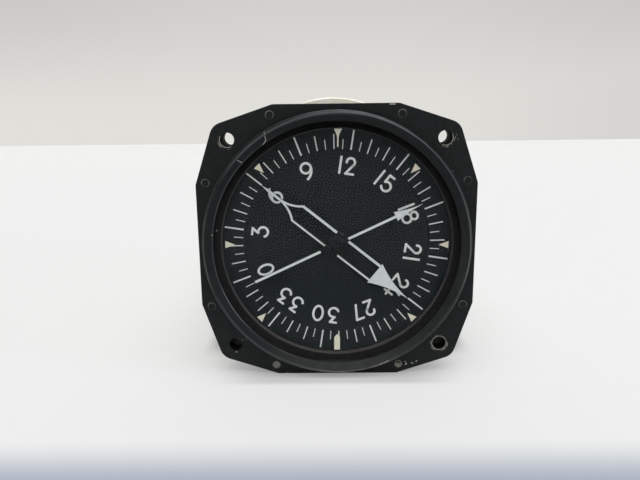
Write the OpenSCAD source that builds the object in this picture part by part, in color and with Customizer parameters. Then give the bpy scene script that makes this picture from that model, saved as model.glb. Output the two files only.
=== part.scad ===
// Panel instrument with a turning compass card and two coaxial bearing pointers.
// X is to the right, Y runs into the panel, Z is up. The origin is on the instrument's
// axis, in the front face of the flange that lies against the panel.

/* [Flange] */
// Side of the square flange
flange_size = 82.55; // [82:0.05:100]
// Distance from the square's corner at which each of its two bevels starts
corner_run = 22.9; // [20:0.1:28]
// Amount by which the rounded tip stands in from the square's corner
corner_cut = 8.6; // [7:0.1:10]
// Radius that rounds each corner
corner_round = 4.5; // [3:0.5:6]
// Thickness of the front plate
bezel_plate_t = 3; // [2.8:0.1:4]
// Thickness of the backing frame behind it
frame_t = 3; // [2.5:0.1:5]
// Side of the square on which the four mounting holes lie
mount_pitch = 62.87; // [62:0.01:64]
// Diameter of each mounting hole
mount_hole_d = 4.1; // [3:0.1:4.6]
// Diameter of the nut pressed into the frame behind each hole
nut_d = 7; // [6.4:0.1:8]
// Length by which it stands out behind the frame
nut_length = 3.2; // [2:0.1:6]
// Distance of each rivet from the middle of its side
rivet_along = 19; // [14:0.5:21]
// Distance of each rivet from the edge of the flange
rivet_inset = 2.9; // [2.4:0.1:3]
// Diameter of the flush rivet heads
rivet_head_d = 2.3; // [1.8:0.1:2.6]
// Diameter of the rivet shanks
rivet_shank_d = 1.5; // [1:0.1:1.6]

/* [Bezel ring and glass] */
// Outer diameter of the raised ring
ring_d = 79.4; // [79:0.1:80]
// Width of the bevel on the ring's outer edge
ring_bevel = 0.8; // [0.4:0.1:1]
// Depth of that bevel
ring_bevel_h = 1.1; // [0.5:0.1:1.4]
// Width of the narrow crest of the ring
ring_crest = 0.35; // [0.2:0.05:0.6]
// Depth of the cone inside the ring, from the crest to the lip
cone_h = 1.45; // [1:0.05:2]
// Inner diameter of the lip in front of the glass
lip_d = 73.2; // [72:0.1:74]
// Thickness of the lip at its inner edge
lip_t = 0.35; // [0.3:0.05:0.8]
// Width of the chamfer that breaks the lip's inner edge
lip_break = 0.15; // [0.05:0.05:0.2]
// Width of the straight stretch at the bottom of the lip
lip_flat_w = 16; // [8:1:20]
// Diameter of the cover glass
glass_d = 74.8; // [74.4:0.1:75.2]
// Thickness of the cover glass
glass_t = 1.8; // [1.2:0.1:2.4]
// Thickness of the gasket in front of the glass
gasket_t = 0.4; // [0.3:0.1:0.8]
// Inner diameter of the mask behind the glass
mask_bore_d = 68.8; // [66:0.1:70]
// Thickness of the mask
mask_t = 2; // [1:0.1:2.2]
// Thickness of the threaded ring that holds the glass
retainer_t = 1.2; // [0.8:0.1:1.4]

/* [Compass card] */
// Diameter of the card
card_d = 70.8; // [70.2:0.1:71]
// Thickness of the card
card_t = 1; // [0.8:0.1:1.6]
// Diameter of the sunk middle of the card
card_sunk_d = 56; // [50:0.5:60]
// Depth of the sunk middle
card_sunk_h = 0.25; // [0.1:0.05:0.5]

/* [Pointers] */
// Bearing that the single pointer shows, clockwise from the top
single_bearing = 64.9; // [0:0.1:360]
// Bearing that the double pointer shows, clockwise from the top
double_bearing = 129; // [0:0.1:360]
// Thickness of the pointer sheet
pointer_t = 0.4; // [0.3:0.05:0.5]
// Gap between the two pointers
pointer_gap = 0.55; // [0.5:0.05:0.8]
// Length of the single pointer's head side
single_head = 28.2; // [24:0.1:32]
// Length of the single pointer's tail side
single_tail = 27.5; // [24:0.1:32]
// Width of the single pointer's bar
single_w = 0.8; // [0.6:0.1:1.2]
// Length of the single arrowhead
single_arrow = 8.7; // [6:0.1:10]
// Width of the single arrowhead
single_arrow_w = 2.9; // [2:0.1:4]
// Length of the double pointer's head side
double_head = 28; // [24:0.1:32]
// Length of the double pointer's tail side
double_tail = 28; // [26:0.1:32]
// Distance between the centre lines of the two bars
double_span = 5.44; // [4:0.02:6]
// Width of each bar
double_w = 0.95; // [0.7:0.05:1.2]
// Length of the double arrowhead
double_arrow = 13.1; // [9:0.1:14]
// Width of the double arrowhead
double_arrow_w = 7.4; // [6:0.1:9]
// Angle through which each bar bends in towards the tail
tail_bend = 42; // [30:1:50]
// Width of the tail beyond the meeting of the bars
tail_w = 0.8; // [0.5:0.05:1]
// Length of the tail beyond the meeting of the bars
tail_stem = 6.05; // [4:0.05:8]

/* [Shafts] */
// Diameter of the single pointer's shaft
shaft_d = 1.5; // [1.2:0.1:1.8]
// Wall of the bushes inside the double pointer's tube
tube_bush_wall = 0.3; // [0.2:0.05:0.5]
// Wall of the double pointer's tube
tube_wall = 0.5; // [0.4:0.05:0.7]
// Wall of the bushes inside the fixed sleeve
sleeve_bush_wall = 0.45; // [0.3:0.05:0.6]
// Wall of the fixed sleeve
sleeve_wall = 0.9; // [0.8:0.1:1.2]
// Length of each bush
bush_len = 2; // [1.5:0.1:2.4]

/* [Card bearing and gears] */
// Radial height of the card bearing
bearing_height = 3.5; // [3:0.1:4.5]
// Width of the card bearing
bearing_w = 3.5; // [2.5:0.1:3.7]
// Diameter of each ball
ball_d = 1.8; // [1.4:0.1:2]
// Number of balls
ball_count = 9; // [6:1:11]
// Gear module
gear_module = 0.4; // [0.39:0.01:0.42]
// Teeth of the large gear on the card
card_teeth = 120; // [112:1:126]
// Teeth of the servo motor's pinion
pinion_teeth = 15; // [14:1:20]
// Teeth of each of the two equal heading gears
heading_teeth = 50; // [50:1:54]
// Thickness of the gears
gear_t = 1.2; // [0.8:0.1:1.6]
// Clock position of the servo motor
motor_angle = 240; // [225:1:255]
// Clock position of the heading synchro
synchro_angle = 60; // [45:1:75]

/* [Motor and synchros] */
// Diameter of the motor and synchro bodies
machine_d = 19.05; // [15.8:0.05:20]
// Length of the motor and of the heading synchro
long_machine = 30; // [26:1:36]
// Length of the two pointer synchros
short_machine = 22; // [20:1:26]
// Diameter of the pilot that centres each body in its plate
pilot_d = 12.7; // [10:0.1:14]
// Diameter of the rotors
rotor_d = 10.6; // [9:0.1:12]
// Diameter of the motor and heading synchro shafts
output_shaft_d = 1.6; // [1.4:0.1:2]

/* [Chassis and case] */
// Thickness of the three chassis plates
plate_t = 2; // [1.6:0.1:2.5]
// From the axis to the chassis posts
post_reach = 33; // [32.5:0.1:34.5]
// Diameter of the chassis posts
post_d = 4.4; // [4:0.1:5]
// Room between the rear synchro and the inside of the rear cover
rear_room = 5.8; // [3.6:0.2:30]
// Outer diameter of the case can
can_d = 79.2; // [78.8:0.1:79.6]
// Wall of the case can
can_wall = 1; // [0.8:0.1:1.1]
// Outer diameter of the band that closes the rear seam
band_d = 84.8; // [84.4:0.1:90]
// Thickness of the rear cover
cover_t = 1.6; // [1.2:0.1:2.5]
// Distance of the circuit board from the rear plate
board_offset = 10; // [8:1:10]
// Diameter of the circuit board
board_d = 60.4; // [50:0.2:60.8]
// Thickness of the circuit board
board_t = 1.6; // [1:0.1:2]

/* [Rear connector] */
// Side of the connector's square flange
conn_flange = 27; // [26:0.5:34]
// Outer diameter of the connector's barrel
conn_d = 20.8; // [20:0.1:22]
// Inner diameter of the barrel
conn_bore_d = 17.2; // [16.8:0.1:18]
// Length of the barrel behind the flange
conn_len = 15.2; // [15:0.1:20]
// Diameter of each contact pin
pin_d = 1.6; // [1:0.1:1.8]
// Length of the pins beyond the insert
pin_reach = 5; // [4:0.1:5.2]

/* [Fits] */
// Radial gap of a shaft that turns in a bush
running_gap = 0.05; // [0.03:0.01:0.08]
// Radial gap of parts that are pressed or screwed together
seat_gap = 0.03; // [0.02:0.01:0.05]
// Gap between moving parts that must never touch
free_gap = 0.4; // [0.3:0.05:0.5]
// Amount that the meshing teeth are thinned
backlash = 0.06; // [0.04:0.01:0.1]

/* [Hidden] */
$fn = 96;

// Front stack, from the back of the bezel plate forward
retainer_front = bezel_plate_t - retainer_t;
mask_front = retainer_front - mask_t;
glass_front = mask_front - glass_t;
pocket_floor = glass_front - gasket_t;
lip_front = pocket_floor - lip_t;
crest_y = lip_front - cone_h;
pocket_r = glass_d / 2 + 0.2;
lip_r = lip_d / 2;
crest_r = ring_d / 2 - ring_bevel;
flange_half = flange_size / 2;
flange_flat = flange_half - corner_run;
corner_reach = flange_half * sqrt(2) - corner_cut;
frame_back = bezel_plate_t + frame_t;
nut_neck_r = mount_hole_d / 2 + 0.6;
nut_neck_h = 1.5;
nut_bevel = 0.5;

// Pointers and card, from the back of the glass to the rear
cap_h = 0.75;
cap_r = 1.7;
cap_grip = 0.4;
cap_front = mask_front + free_gap;
single_front = cap_front + cap_h;
double_front = single_front + pointer_t + pointer_gap;
card_clear = 0.5;
card_front = double_front + pointer_t + card_clear;
card_sunk_front = card_front + card_sunk_h;
card_back = card_front + card_t;
single_disc_r = 2.2;
weight_reach = 3.3;
weight_r = 1.1;
weight_h = 0.55;
double_disc_r = 3.9;
double_base = double_head - double_arrow;
bend_r = double_span / 2 / (1 - cos(tail_bend));
bend_foot = tail_stem - double_tail;
tube_collar_r = 2.4;
tube_collar_h = 0.5;

// Nested shafts, each radius built on the one inside it
shaft_r = shaft_d / 2;
tube_bush_bore = shaft_r + running_gap;
tube_bore = tube_bush_bore + tube_bush_wall;
tube_r = tube_bore + tube_wall;
sleeve_bush_bore = tube_r + running_gap;
sleeve_bore = sleeve_bush_bore + sleeve_bush_wall;
sleeve_r = sleeve_bore + sleeve_wall;
sleeve_shoulder_r = sleeve_r + 1;
sleeve_neck_r = sleeve_r + 0.5;
tube_front = double_front - 0.15;
sleeve_front = double_front + pointer_t + tube_collar_h + free_gap;

// Card hub and gear stack
hub_flange_t = 1.6;
hub_floor_t = 1.2;
hub_bore = sleeve_r + free_gap;
bearing_r = sleeve_r + bearing_height;
hub_r = bearing_r + 1;
hub_flange_r = hub_r + 1.6;
card_gear_front = card_back + hub_flange_t;
spacer_t = 0.8;
heading_gear_front = card_gear_front + gear_t + spacer_t;
hub_end = heading_gear_front + gear_t;
bearing_front = card_back + hub_floor_t;
bearing_back = bearing_front + bearing_w;
race_t = 1;
ball_orbit = sleeve_r + bearing_height / 2;
groove_r = ball_d / 2 + seat_gap;
gear_screw_reach = hub_r + 0.85;
gear_screw_r = 0.4;
gear_screw_head_r = 0.75;
gear_screw_head_h = 0.45;
gear_screw_count = 3;
card_gear_r = card_teeth * gear_module / 2;
motor_reach = (card_teeth + pinion_teeth) * gear_module / 2;
synchro_reach = heading_teeth * gear_module;
pressure_angle = 20;
addendum = 0.9;
dedendum = 1.2;
pinion_extra = 0.2;
web_hole_r = 4;
web_hole_count = 6;

// Chassis, from the front plate to the rear cover
plate_front = hub_end + 1.2;
plate_back = plate_front + plate_t;
sleeve_nut_h = 2;
sleeve_end = plate_back + sleeve_nut_h + 0.6;
machine_gap = 2.2;
middle_front = plate_back + long_machine + machine_gap;
middle_back = middle_front + plate_t;
rear_front = middle_back + short_machine + machine_gap;
rear_back = rear_front + plate_t;
case_depth = rear_back + short_machine + rear_room;
can_r = can_d / 2;
can_bore = can_r - can_wall;
plate_r = can_bore - free_gap;
post_r = post_d / 2;
post_angles = [15, 105, 195, 285];
stud_r = 1;
stud_len = 6;
stud_hole = 4.4;
screw_head_r = 2;
screw_head_h = 1.1;
lightening_r = 5;
lightening_reach = 23;

// Motor and synchro bodies, all of one frame size
machine_r = machine_d / 2;
pilot_r = pilot_d / 2;
pilot_h = 1.5;
clamp_groove_y = 1.5;
clamp_groove_w = 1.2;
clamp_groove_h = 0.8;
machine_front_wall = 3;
machine_rear_wall = 4;
rear_cap_r = machine_r - 0.9;
rear_cap_h = 3;
machine_bush_wall = 0.6;
rotor_r = rotor_d / 2;
rotor_clear = 0.35;
rotor_end_gap = 1.5;
clamp_t = 1;
clamp_disc_r = 2.4;
clamp_post_r = 1.4;
clamp_screw_r = 0.6;
clamp_screw_head_r = 1.2;
clamp_screw_head_h = 0.7;
clamp_reach = machine_r + 1.8;
clamp_turns = [60, 180, 300];
output_r = output_shaft_d / 2;
shaft_end = 0.6;

// Case, backing frame and rear seam
lip_ring_r = can_r + 0.9;
lip_ring_t = 1;
rear_lip_r = can_r + 1.8;
rear_lip_t = 1;
band_leg_t = 1.05;
band_gap = 0.15;
cover_spigot_h = 2;
cover_spigot_t = 1.2;
cover_face_r = can_r - 1.6;
cover_back = case_depth + cover_t;
rivet_tail_r = rivet_head_d / 2 + 0.15;
rivet_tail_h = 0.4;
rivet_head_h = 0.8;

// Circuit board behind the rear plate
board_front = rear_back + board_offset;
board_back = board_front + board_t;
board_bore = machine_r + 0.7;
standoff_r = 2.2;
standoff_reach = 25.5;
standoff_angles = [60, 180, 300];

// Connector in the middle of the rear cover
conn_r = conn_d / 2;
conn_bore = conn_bore_d / 2;
conn_flange_t = 1.8;
conn_neck_r = conn_r - 1;
conn_tail = 3.4;
conn_screw_pitch = conn_flange - 5.5;
conn_screw_r = 1;
conn_face = cover_back + conn_flange_t;
conn_end = conn_face + conn_len;
insert_front = cover_back - conn_tail;
insert_back = conn_end - pin_reach - 5;
pin_r = pin_d / 2;
pin_tail = 1.4;
pin_rings = [[1, 0], [6, 3.2], [12, 6.4]];

// A point at radius r and clock angle a, seen from the front
function clock(r, a) = [r * sin(a), r * cos(a)];

// Points along an arc, clock angles a to b in n steps
function arc(centre, r, a, b, n) = [for (i = [0:n]) centre + clock(r, a + (b - a) * i / n)];

// Extrudes an outline, drawn as seen from the front, between two depths
module slab(front, back) {
    translate([0, back, 0])
        rotate([90, 0, 0])
            linear_extrude(height = back - front)
                children();
}

// Turns a profile of [radius, depth] points round the axis
module turned() {
    rotate([-90, 0, 0])
        rotate_extrude()
            children();
}

// Plain cylinder on the axis
module rod(r, front, back) {
    translate([0, front, 0])
        rotate([-90, 0, 0])
            cylinder(r = r, h = back - front);
}

// Hollow cylinder on the axis
module ring(bore, r, front, back) {
    turned()
        polygon([[bore, front], [r, front], [r, back], [bore, back]]);
}

// Shifts what follows to a clock position
module at_clock(reach, angle) {
    p = clock(reach, angle);
    translate([p[0], 0, p[1]])
        children();
}

// Shifts what follows to the servo motor's axis, then to the heading synchro's
module at_motor() {
    at_clock(motor_reach, motor_angle)
        rotate([0, motor_angle, 0])
            children();
}

module at_synchro() {
    at_clock(synchro_reach, synchro_angle)
        rotate([0, synchro_angle, 0])
            children();
}

// Outline of the square flange: each corner has two straight bevels that run into an arc
module flange_outline() {
    centre = (corner_reach - corner_round) / sqrt(2);
    to_centre = [centre - flange_flat, centre - flange_half];
    touch = -atan2(to_centre[1], to_centre[0]) - asin(corner_round / norm(to_centre));
    tip = arc([centre, centre], corner_round, touch, 90 - touch, 12);
    corner = concat([[flange_flat, flange_half]], tip, [[flange_half, flange_flat]]);
    polygon([
        for (turn = [0:90:270])
            for (p = corner)
                [p[0] * cos(turn) + p[1] * sin(turn), p[1] * cos(turn) - p[0] * sin(turn)]
    ]);
}

// Copies what follows to the four mounting holes
module at_mount_holes() {
    for (x = [-mount_pitch / 2, mount_pitch / 2])
        for (z = [-mount_pitch / 2, mount_pitch / 2])
            translate([x, 0, z])
                children();
}

// Copies what follows to the eight rivets, two on each side
module at_rivets() {
    for (side = [0:90:270])
        rotate([0, side, 0])
            for (x = [-rivet_along, rivet_along])
                translate([x, 0, flange_half - rivet_inset])
                    children();
}

// One flush rivet, or with a gap the hole that it fills
module rivet(gap) {
    head_r = rivet_head_d / 2 + gap;
    shank_r = rivet_shank_d / 2 + gap;
    end = frame_back;
    turned()
        polygon([[0, 0], [head_r, 0], [shank_r, rivet_head_h], [shank_r, end], [0, end]]);
}

module front_bezel() {
    color("#2c3132")
        difference() {
            union() {
                slab(0, bezel_plate_t)
                    flange_outline();
                turned()
                    polygon([
                        [lip_r, bezel_plate_t], [ring_d / 2, bezel_plate_t],
                        [ring_d / 2, crest_y + ring_bevel_h], [crest_r, crest_y],
                        [crest_r - ring_crest, crest_y], [lip_r + lip_break, lip_front],
                        [lip_r, lip_front + lip_break]
                    ]);
                lip_segment();
            }
            rod(pocket_r, pocket_floor, bezel_plate_t + 1);
            at_mount_holes()
                rod(mount_hole_d / 2, -1, bezel_plate_t + 1);
            at_rivets()
                rivet(seat_gap);
        }
}

// The part of the lip that stays straight at the bottom
module lip_segment() {
    chord = sqrt(lip_r * lip_r - lip_flat_w * lip_flat_w / 4);
    slab(lip_front + lip_break, pocket_floor + 0.5)
        difference() {
            circle(r = lip_r + 0.1);
            translate([-lip_r - 1, -chord])
                square([2 * lip_r + 2, 2 * lip_r]);
        }
}

module flange_rivets() {
    color("#34393a")
        at_rivets() {
            rivet(0);
            rod(rivet_tail_r, frame_back, frame_back + rivet_tail_h);
        }
}

module glass_gasket() {
    color("#1c1d1e")
        ring(lip_r + 0.1, pocket_r - seat_gap, pocket_floor, glass_front);
}

module cover_glass() {
    color("#d8e4e6", 0.35)
        rod(glass_d / 2, glass_front, mask_front);
}

module index_mask() {
    edge = 0.25;
    bore = mask_bore_d / 2;
    color("#1d2022")
        turned()
            polygon([
                [bore + edge, mask_front], [pocket_r - seat_gap, mask_front],
                [pocket_r - seat_gap, retainer_front], [bore + edge, retainer_front],
                [bore, retainer_front - edge], [bore, mask_front + edge]
            ]);
}

module glass_retainer() {
    bore = card_d / 2 + free_gap;
    slot_w = 1.6;
    slot_h = 0.6;
    color("#26292b")
        difference() {
            ring(bore, pocket_r - seat_gap, retainer_front, bezel_plate_t);
            for (turn = [0:90:270])
                rotate([0, turn, 0])
                    slab(bezel_plate_t - slot_h, bezel_plate_t + 1)
                        translate([-slot_w / 2, bore - 1])
                            square([slot_w, 4]);
        }
}

module backing_frame() {
    color("#2c3132")
        difference() {
            slab(bezel_plate_t, frame_back)
                flange_outline();
            rod(can_r + seat_gap, bezel_plate_t - 1, frame_back + 1);
            rod(lip_ring_r + seat_gap, bezel_plate_t - 1, bezel_plate_t + lip_ring_t);
            at_mount_holes() {
                rod(mount_hole_d / 2, bezel_plate_t - 1, frame_back + 1);
                rod(nut_neck_r + seat_gap, frame_back - nut_neck_h, frame_back + 1);
            }
            at_rivets()
                rivet(seat_gap);
        }
}

// Nuts whose necks are pressed into the back of the frame; their threads are left out
module mounting_nuts() {
    bore_r = mount_hole_d / 2;
    color("#a4a69c")
        at_mount_holes()
            turned()
                polygon([
                    [bore_r, frame_back - nut_neck_h], [nut_neck_r, frame_back - nut_neck_h],
                    [nut_neck_r, frame_back], [nut_d / 2, frame_back],
                    [nut_d / 2, frame_back + nut_length - nut_bevel],
                    [nut_d / 2 - nut_bevel, frame_back + nut_length],
                    [bore_r, frame_back + nut_length]
                ]);
}

// Drawn can with a lip turned out at each end
module case_can() {
    color("#c2c4b4")
        turned()
            polygon([
                [can_bore, bezel_plate_t], [lip_ring_r, bezel_plate_t],
                [lip_ring_r, bezel_plate_t + lip_ring_t], [can_r, bezel_plate_t + lip_ring_t],
                [can_r, case_depth - rear_lip_t], [rear_lip_r, case_depth - rear_lip_t],
                [rear_lip_r, case_depth], [can_bore, case_depth]
            ]);
}

// Rolled band that grips the lips of the can and the rear cover
module closing_band() {
    leg_bore = can_r + band_gap;
    groove = rear_lip_r + seat_gap;
    front = case_depth - rear_lip_t - band_leg_t;
    back = case_depth + rear_lip_t + band_leg_t;
    round_w = 0.5;
    r = band_d / 2;
    color("#bfc1b1")
        turned()
            polygon([
                [leg_bore, front], [r - round_w, front], [r, front + round_w],
                [r, back - round_w], [r - round_w, back], [leg_bore, back],
                [leg_bore, case_depth + rear_lip_t], [groove, case_depth + rear_lip_t],
                [groove, case_depth - rear_lip_t], [leg_bore, case_depth - rear_lip_t]
            ]);
}

module rear_cover() {
    spigot_r = can_bore - seat_gap;
    color("#b9bcae")
        difference() {
            turned()
                polygon([
                    [0, case_depth], [spigot_r - cover_spigot_t, case_depth],
                    [spigot_r - cover_spigot_t, case_depth - cover_spigot_h],
                    [spigot_r, case_depth - cover_spigot_h], [spigot_r, case_depth],
                    [rear_lip_r, case_depth], [rear_lip_r, case_depth + rear_lip_t],
                    [can_r - 0.4, case_depth + rear_lip_t], [cover_face_r, cover_back],
                    [0, cover_back]
                ]);
            rod(conn_neck_r + seat_gap, case_depth - 1, cover_back + 1);
            at_posts()
                rod(stud_r + seat_gap, case_depth - 1, cover_back + 1);
            at_connector_screws()
                rod(conn_screw_r + seat_gap, case_depth - 1, cover_back + 1);
        }
}

// Slotted pan-head screw that goes in from the rear, head behind its seat
module rear_screw(r, head_r, head_h, seat, tip) {
    slot_w = head_r * 0.3;
    difference() {
        union() {
            rod(r, tip, seat + head_h / 2);
            rod(head_r, seat, seat + head_h);
        }
        slab(seat + head_h * 0.5, seat + head_h + 1)
            square([slot_w, 3 * head_r], center = true);
    }
}

// The same screw, going in from the front
module front_screw(r, head_r, head_h, seat, tip) {
    slot_w = head_r * 0.3;
    difference() {
        union() {
            rod(r, seat - head_h / 2, tip);
            rod(head_r, seat - head_h, seat);
        }
        slab(seat - head_h - 1, seat - head_h * 0.5)
            square([slot_w, 3 * head_r], center = true);
    }
}

module at_posts() {
    for (angle = post_angles)
        at_clock(post_reach, angle)
            children();
}

module cover_screws() {
    color("#9ea3a3")
        at_posts()
            rear_screw(stud_r, screw_head_r, screw_head_h, cover_back, case_depth - 4);
}

// Round chassis plate with its post holes and lightening holes
module chassis_plate(front, back) {
    difference() {
        rod(plate_r, front, back);
        at_posts()
            rod(stud_r + seat_gap, front - 1, back + 1);
        for (angle = [synchro_angle + 90, synchro_angle + 270])
            at_clock(lightening_reach, angle)
                rod(lightening_r, front - 1, back + 1);
    }
}

// Cuts for one motor or synchro: the pilot bore and its clamp screws
module machine_seat(front, back) {
    rod(pilot_r + seat_gap, front - 1, back + 1);
    for (turn = clamp_turns)
        at_clock(clamp_reach, turn)
            rod(clamp_screw_r + seat_gap, front - 1, back + 1);
}

module front_plate() {
    color("#a9adb0")
        difference() {
            chassis_plate(plate_front, plate_back);
            rod(sleeve_neck_r + seat_gap, plate_front - 1, plate_back + 1);
            at_motor()
                machine_seat(plate_front, plate_back);
            at_synchro()
                machine_seat(plate_front, plate_back);
        }
}

module middle_plate() {
    color("#a9adb0")
        difference() {
            chassis_plate(middle_front, middle_back);
            machine_seat(middle_front, middle_back);
        }
}

module rear_plate() {
    color("#a9adb0")
        difference() {
            chassis_plate(rear_front, rear_back);
            machine_seat(rear_front, rear_back);
            for (angle = standoff_angles)
                at_clock(standoff_reach, angle)
                    rod(stud_r + seat_gap, rear_front - 1, rear_back + 1);
        }
}

// Post with a blind hole in front and, if asked for, a stud behind
module post(front, back, stud, rear_hole) {
    difference() {
        union() {
            rod(post_r, front, back);
            if (stud)
                rod(stud_r, back - 1, back + stud_len);
        }
        rod(stud_r + seat_gap, front - 1, front + stud_hole);
        if (rear_hole)
            rod(stud_r + seat_gap, back - stud_hole, back + 1);
    }
}

module front_posts() {
    color("#8e9496")
        at_posts()
            post(plate_back, middle_front, true, false);
}

module middle_posts() {
    color("#8e9496")
        at_posts()
            post(middle_back, rear_front, true, false);
}

module rear_posts() {
    color("#8e9496")
        at_posts()
            post(rear_back, case_depth, false, true);
}

module post_screws() {
    color("#9ea3a3")
        at_posts()
            front_screw(stud_r, screw_head_r, screw_head_h, plate_front, plate_back + 4);
}

// Fixed sleeve that carries the card bearing outside and the pointer tube inside
module fixed_sleeve() {
    color("#8b9092")
        turned()
            polygon([
                [sleeve_bore, sleeve_front], [sleeve_r, sleeve_front],
                [sleeve_r, bearing_back], [sleeve_shoulder_r, bearing_back],
                [sleeve_shoulder_r, plate_front], [sleeve_neck_r, plate_front],
                [sleeve_neck_r, sleeve_end], [sleeve_bore, sleeve_end]
            ]);
}

module sleeve_nut() {
    nut_r = sleeve_neck_r + 2.2;
    color("#b79a5c")
        slab(plate_back, plate_back + sleeve_nut_h)
            difference() {
                circle(r = nut_r, $fn = 6);
                circle(r = sleeve_neck_r + seat_gap);
            }
}

module sleeve_bushes() {
    color("#b08d4f") {
        ring(sleeve_bush_bore, sleeve_bore, sleeve_front, sleeve_front + bush_len);
        ring(sleeve_bush_bore, sleeve_bore, sleeve_end - bush_len, sleeve_end);
    }
}

// Torus in which the balls run
module ball_groove() {
    turned()
        translate([ball_orbit, (bearing_front + bearing_back) / 2])
            circle(r = groove_r, $fn = 48);
}

module bearing_inner_race() {
    color("#c9cdd0")
        difference() {
            ring(sleeve_r, sleeve_r + race_t, bearing_front, bearing_back);
            ball_groove();
        }
}

module bearing_outer_race() {
    color("#c9cdd0")
        difference() {
            ring(bearing_r - race_t, bearing_r, bearing_front, bearing_back);
            ball_groove();
        }
}

module bearing_balls() {
    color("#d9dcde")
        for (i = [0:ball_count - 1])
            at_clock(ball_orbit, 360 * i / ball_count)
                translate([0, (bearing_front + bearing_back) / 2, 0])
                    sphere(d = ball_d, $fn = 32);
}

// Card with a sunk middle that leaves the outer scale ring proud
module compass_card() {
    rim = 0.15;
    sunk_r = card_sunk_d / 2;
    color("#212529")
        turned()
            polygon([
                [hub_bore, card_sunk_front], [sunk_r - card_sunk_h, card_sunk_front],
                [sunk_r, card_front], [card_d / 2 - rim, card_front],
                [card_d / 2, card_front + rim], [card_d / 2, card_back], [hub_bore, card_back]
            ]);
}

module card_hub() {
    color("#9aa0a3")
        difference() {
            turned()
                polygon([
                    [hub_bore, card_back], [hub_flange_r, card_back],
                    [hub_flange_r, card_gear_front], [hub_r, card_gear_front],
                    [hub_r, hub_end], [bearing_r, hub_end], [bearing_r, bearing_front],
                    [hub_bore, bearing_front]
                ]);
            at_gear_screws()
                rod(gear_screw_r + seat_gap, card_gear_front - 1, card_gear_front + 1);
        }
}

module at_gear_screws() {
    for (i = [0:gear_screw_count - 1])
        at_clock(gear_screw_reach, 360 * i / gear_screw_count)
            children();
}

// Involute function, in degrees, at radius r on base radius base
function involute(base, r) = let (c = acos(min(1, base / r))) tan(c) * 180 / PI - c;

// Points of one tooth as [radius, clock angle] on either side of its middle
function tooth(teeth) =
    let (
        pitch = teeth * gear_module / 2,
        base = pitch * cos(pressure_angle),
        tip = pitch + addendum * gear_module,
        root = pitch - dedendum * gear_module,
        half = 90 / teeth - backlash / 2 / pitch * 180 / PI,
        at_pitch = half + involute(base, pitch),
        root_half = at_pitch - involute(base, max(root, base)),
        tip_half = at_pitch - involute(base, tip)
    )
    [[root, -root_half], [pitch, -half], [tip, -tip_half], [tip, tip_half], [pitch, half], [root, root_half]];

// Gear outline with the middle of one tooth at the top
module gear_outline(teeth) {
    polygon([
        for (i = [0:teeth - 1])
            for (p = tooth(teeth))
                clock(p[0], p[1] + 360 * i / teeth)
    ]);
}

module card_gear() {
    web_reach = (hub_flange_r + card_gear_r) / 2;
    color("#b99b5b")
        difference() {
            rotate([0, motor_angle, 0])
                slab(card_gear_front, card_gear_front + gear_t)
                    gear_outline(card_teeth);
            rod(hub_r + seat_gap, card_gear_front - 1, card_gear_front + gear_t + 1);
            at_gear_screws()
                rod(gear_screw_r + seat_gap, card_gear_front - 1, card_gear_front + gear_t + 1);
            for (i = [0:web_hole_count - 1])
                at_clock(web_reach, 360 * i / web_hole_count)
                    rod(web_hole_r, card_gear_front - 1, card_gear_front + gear_t + 1);
        }
}

module gear_spacer() {
    front = card_gear_front + gear_t;
    color("#a0a5a8")
        difference() {
            ring(hub_r + seat_gap, hub_flange_r, front, front + spacer_t);
            at_gear_screws()
                rod(gear_screw_r + seat_gap, front - 1, front + spacer_t + 1);
        }
}

module heading_gear() {
    color("#b99b5b")
        difference() {
            rotate([0, synchro_angle, 0])
                slab(heading_gear_front, hub_end)
                    gear_outline(heading_teeth);
            rod(hub_r + seat_gap, heading_gear_front - 1, hub_end + 1);
            at_gear_screws()
                rod(gear_screw_r + seat_gap, heading_gear_front - 1, hub_end + 1);
        }
}

module gear_screws() {
    color("#8f9598")
        at_gear_screws()
            rear_screw(gear_screw_r, gear_screw_head_r, gear_screw_head_h, hub_end, card_gear_front - 0.9);
}

// Closes a right half into a whole outline by mirroring its points
function both_halves(right) =
    concat(right, [for (i = [len(right) - 1:-1:0]) if (right[i][0] > 0.001) [-right[i][0], right[i][1]]]);

// Right side of an arrowhead with sides drawn in, from its base to its point
function arrow_side(base, length, width, draw_in) =
    let (
        side = norm([width / 2, length]),
        r = side * side / 8 / draw_in + draw_in / 2,
        lean = atan2(width / 2, length),
        half_sweep = asin(side / 2 / r),
        middle = [width / 4, base + length / 2] + (r - draw_in) * [cos(lean), sin(lean)]
    )
    arc(middle, r, 270 - lean - half_sweep, 270 - lean + half_sweep, 8);

// Outer edge of the single pointer's right half, from the end of its tail to its point
function single_edge() =
    let (base = single_head - single_arrow)
    concat(
        [[single_w / 2, -single_tail], [single_w / 2, base]],
        arrow_side(base, single_arrow, single_arrow_w, 0.3)
    );

module single_pointer() {
    color("#c4cccb")
        rotate([0, single_bearing, 0])
            slab(single_front, single_front + pointer_t)
                difference() {
                    union() {
                        polygon(both_halves(single_edge()));
                        circle(r = single_disc_r);
                        translate([0, -weight_reach])
                            circle(r = weight_r);
                    }
                    circle(r = shaft_r + seat_gap);
                    translate([0, -weight_reach])
                        circle(r = weight_r / 3 + seat_gap);
                }
}

// Domed cap on the end of the single pointer's shaft
module pointer_cap() {
    round_w = 0.35;
    color("#1b1c1d")
        turned()
            polygon([
                [0, cap_front], [cap_r - round_w, cap_front], [cap_r, cap_front + round_w],
                [cap_r, single_front], [shaft_r + seat_gap, single_front],
                [shaft_r + seat_gap, single_front - cap_grip], [0, single_front - cap_grip]
            ]);
}

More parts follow.
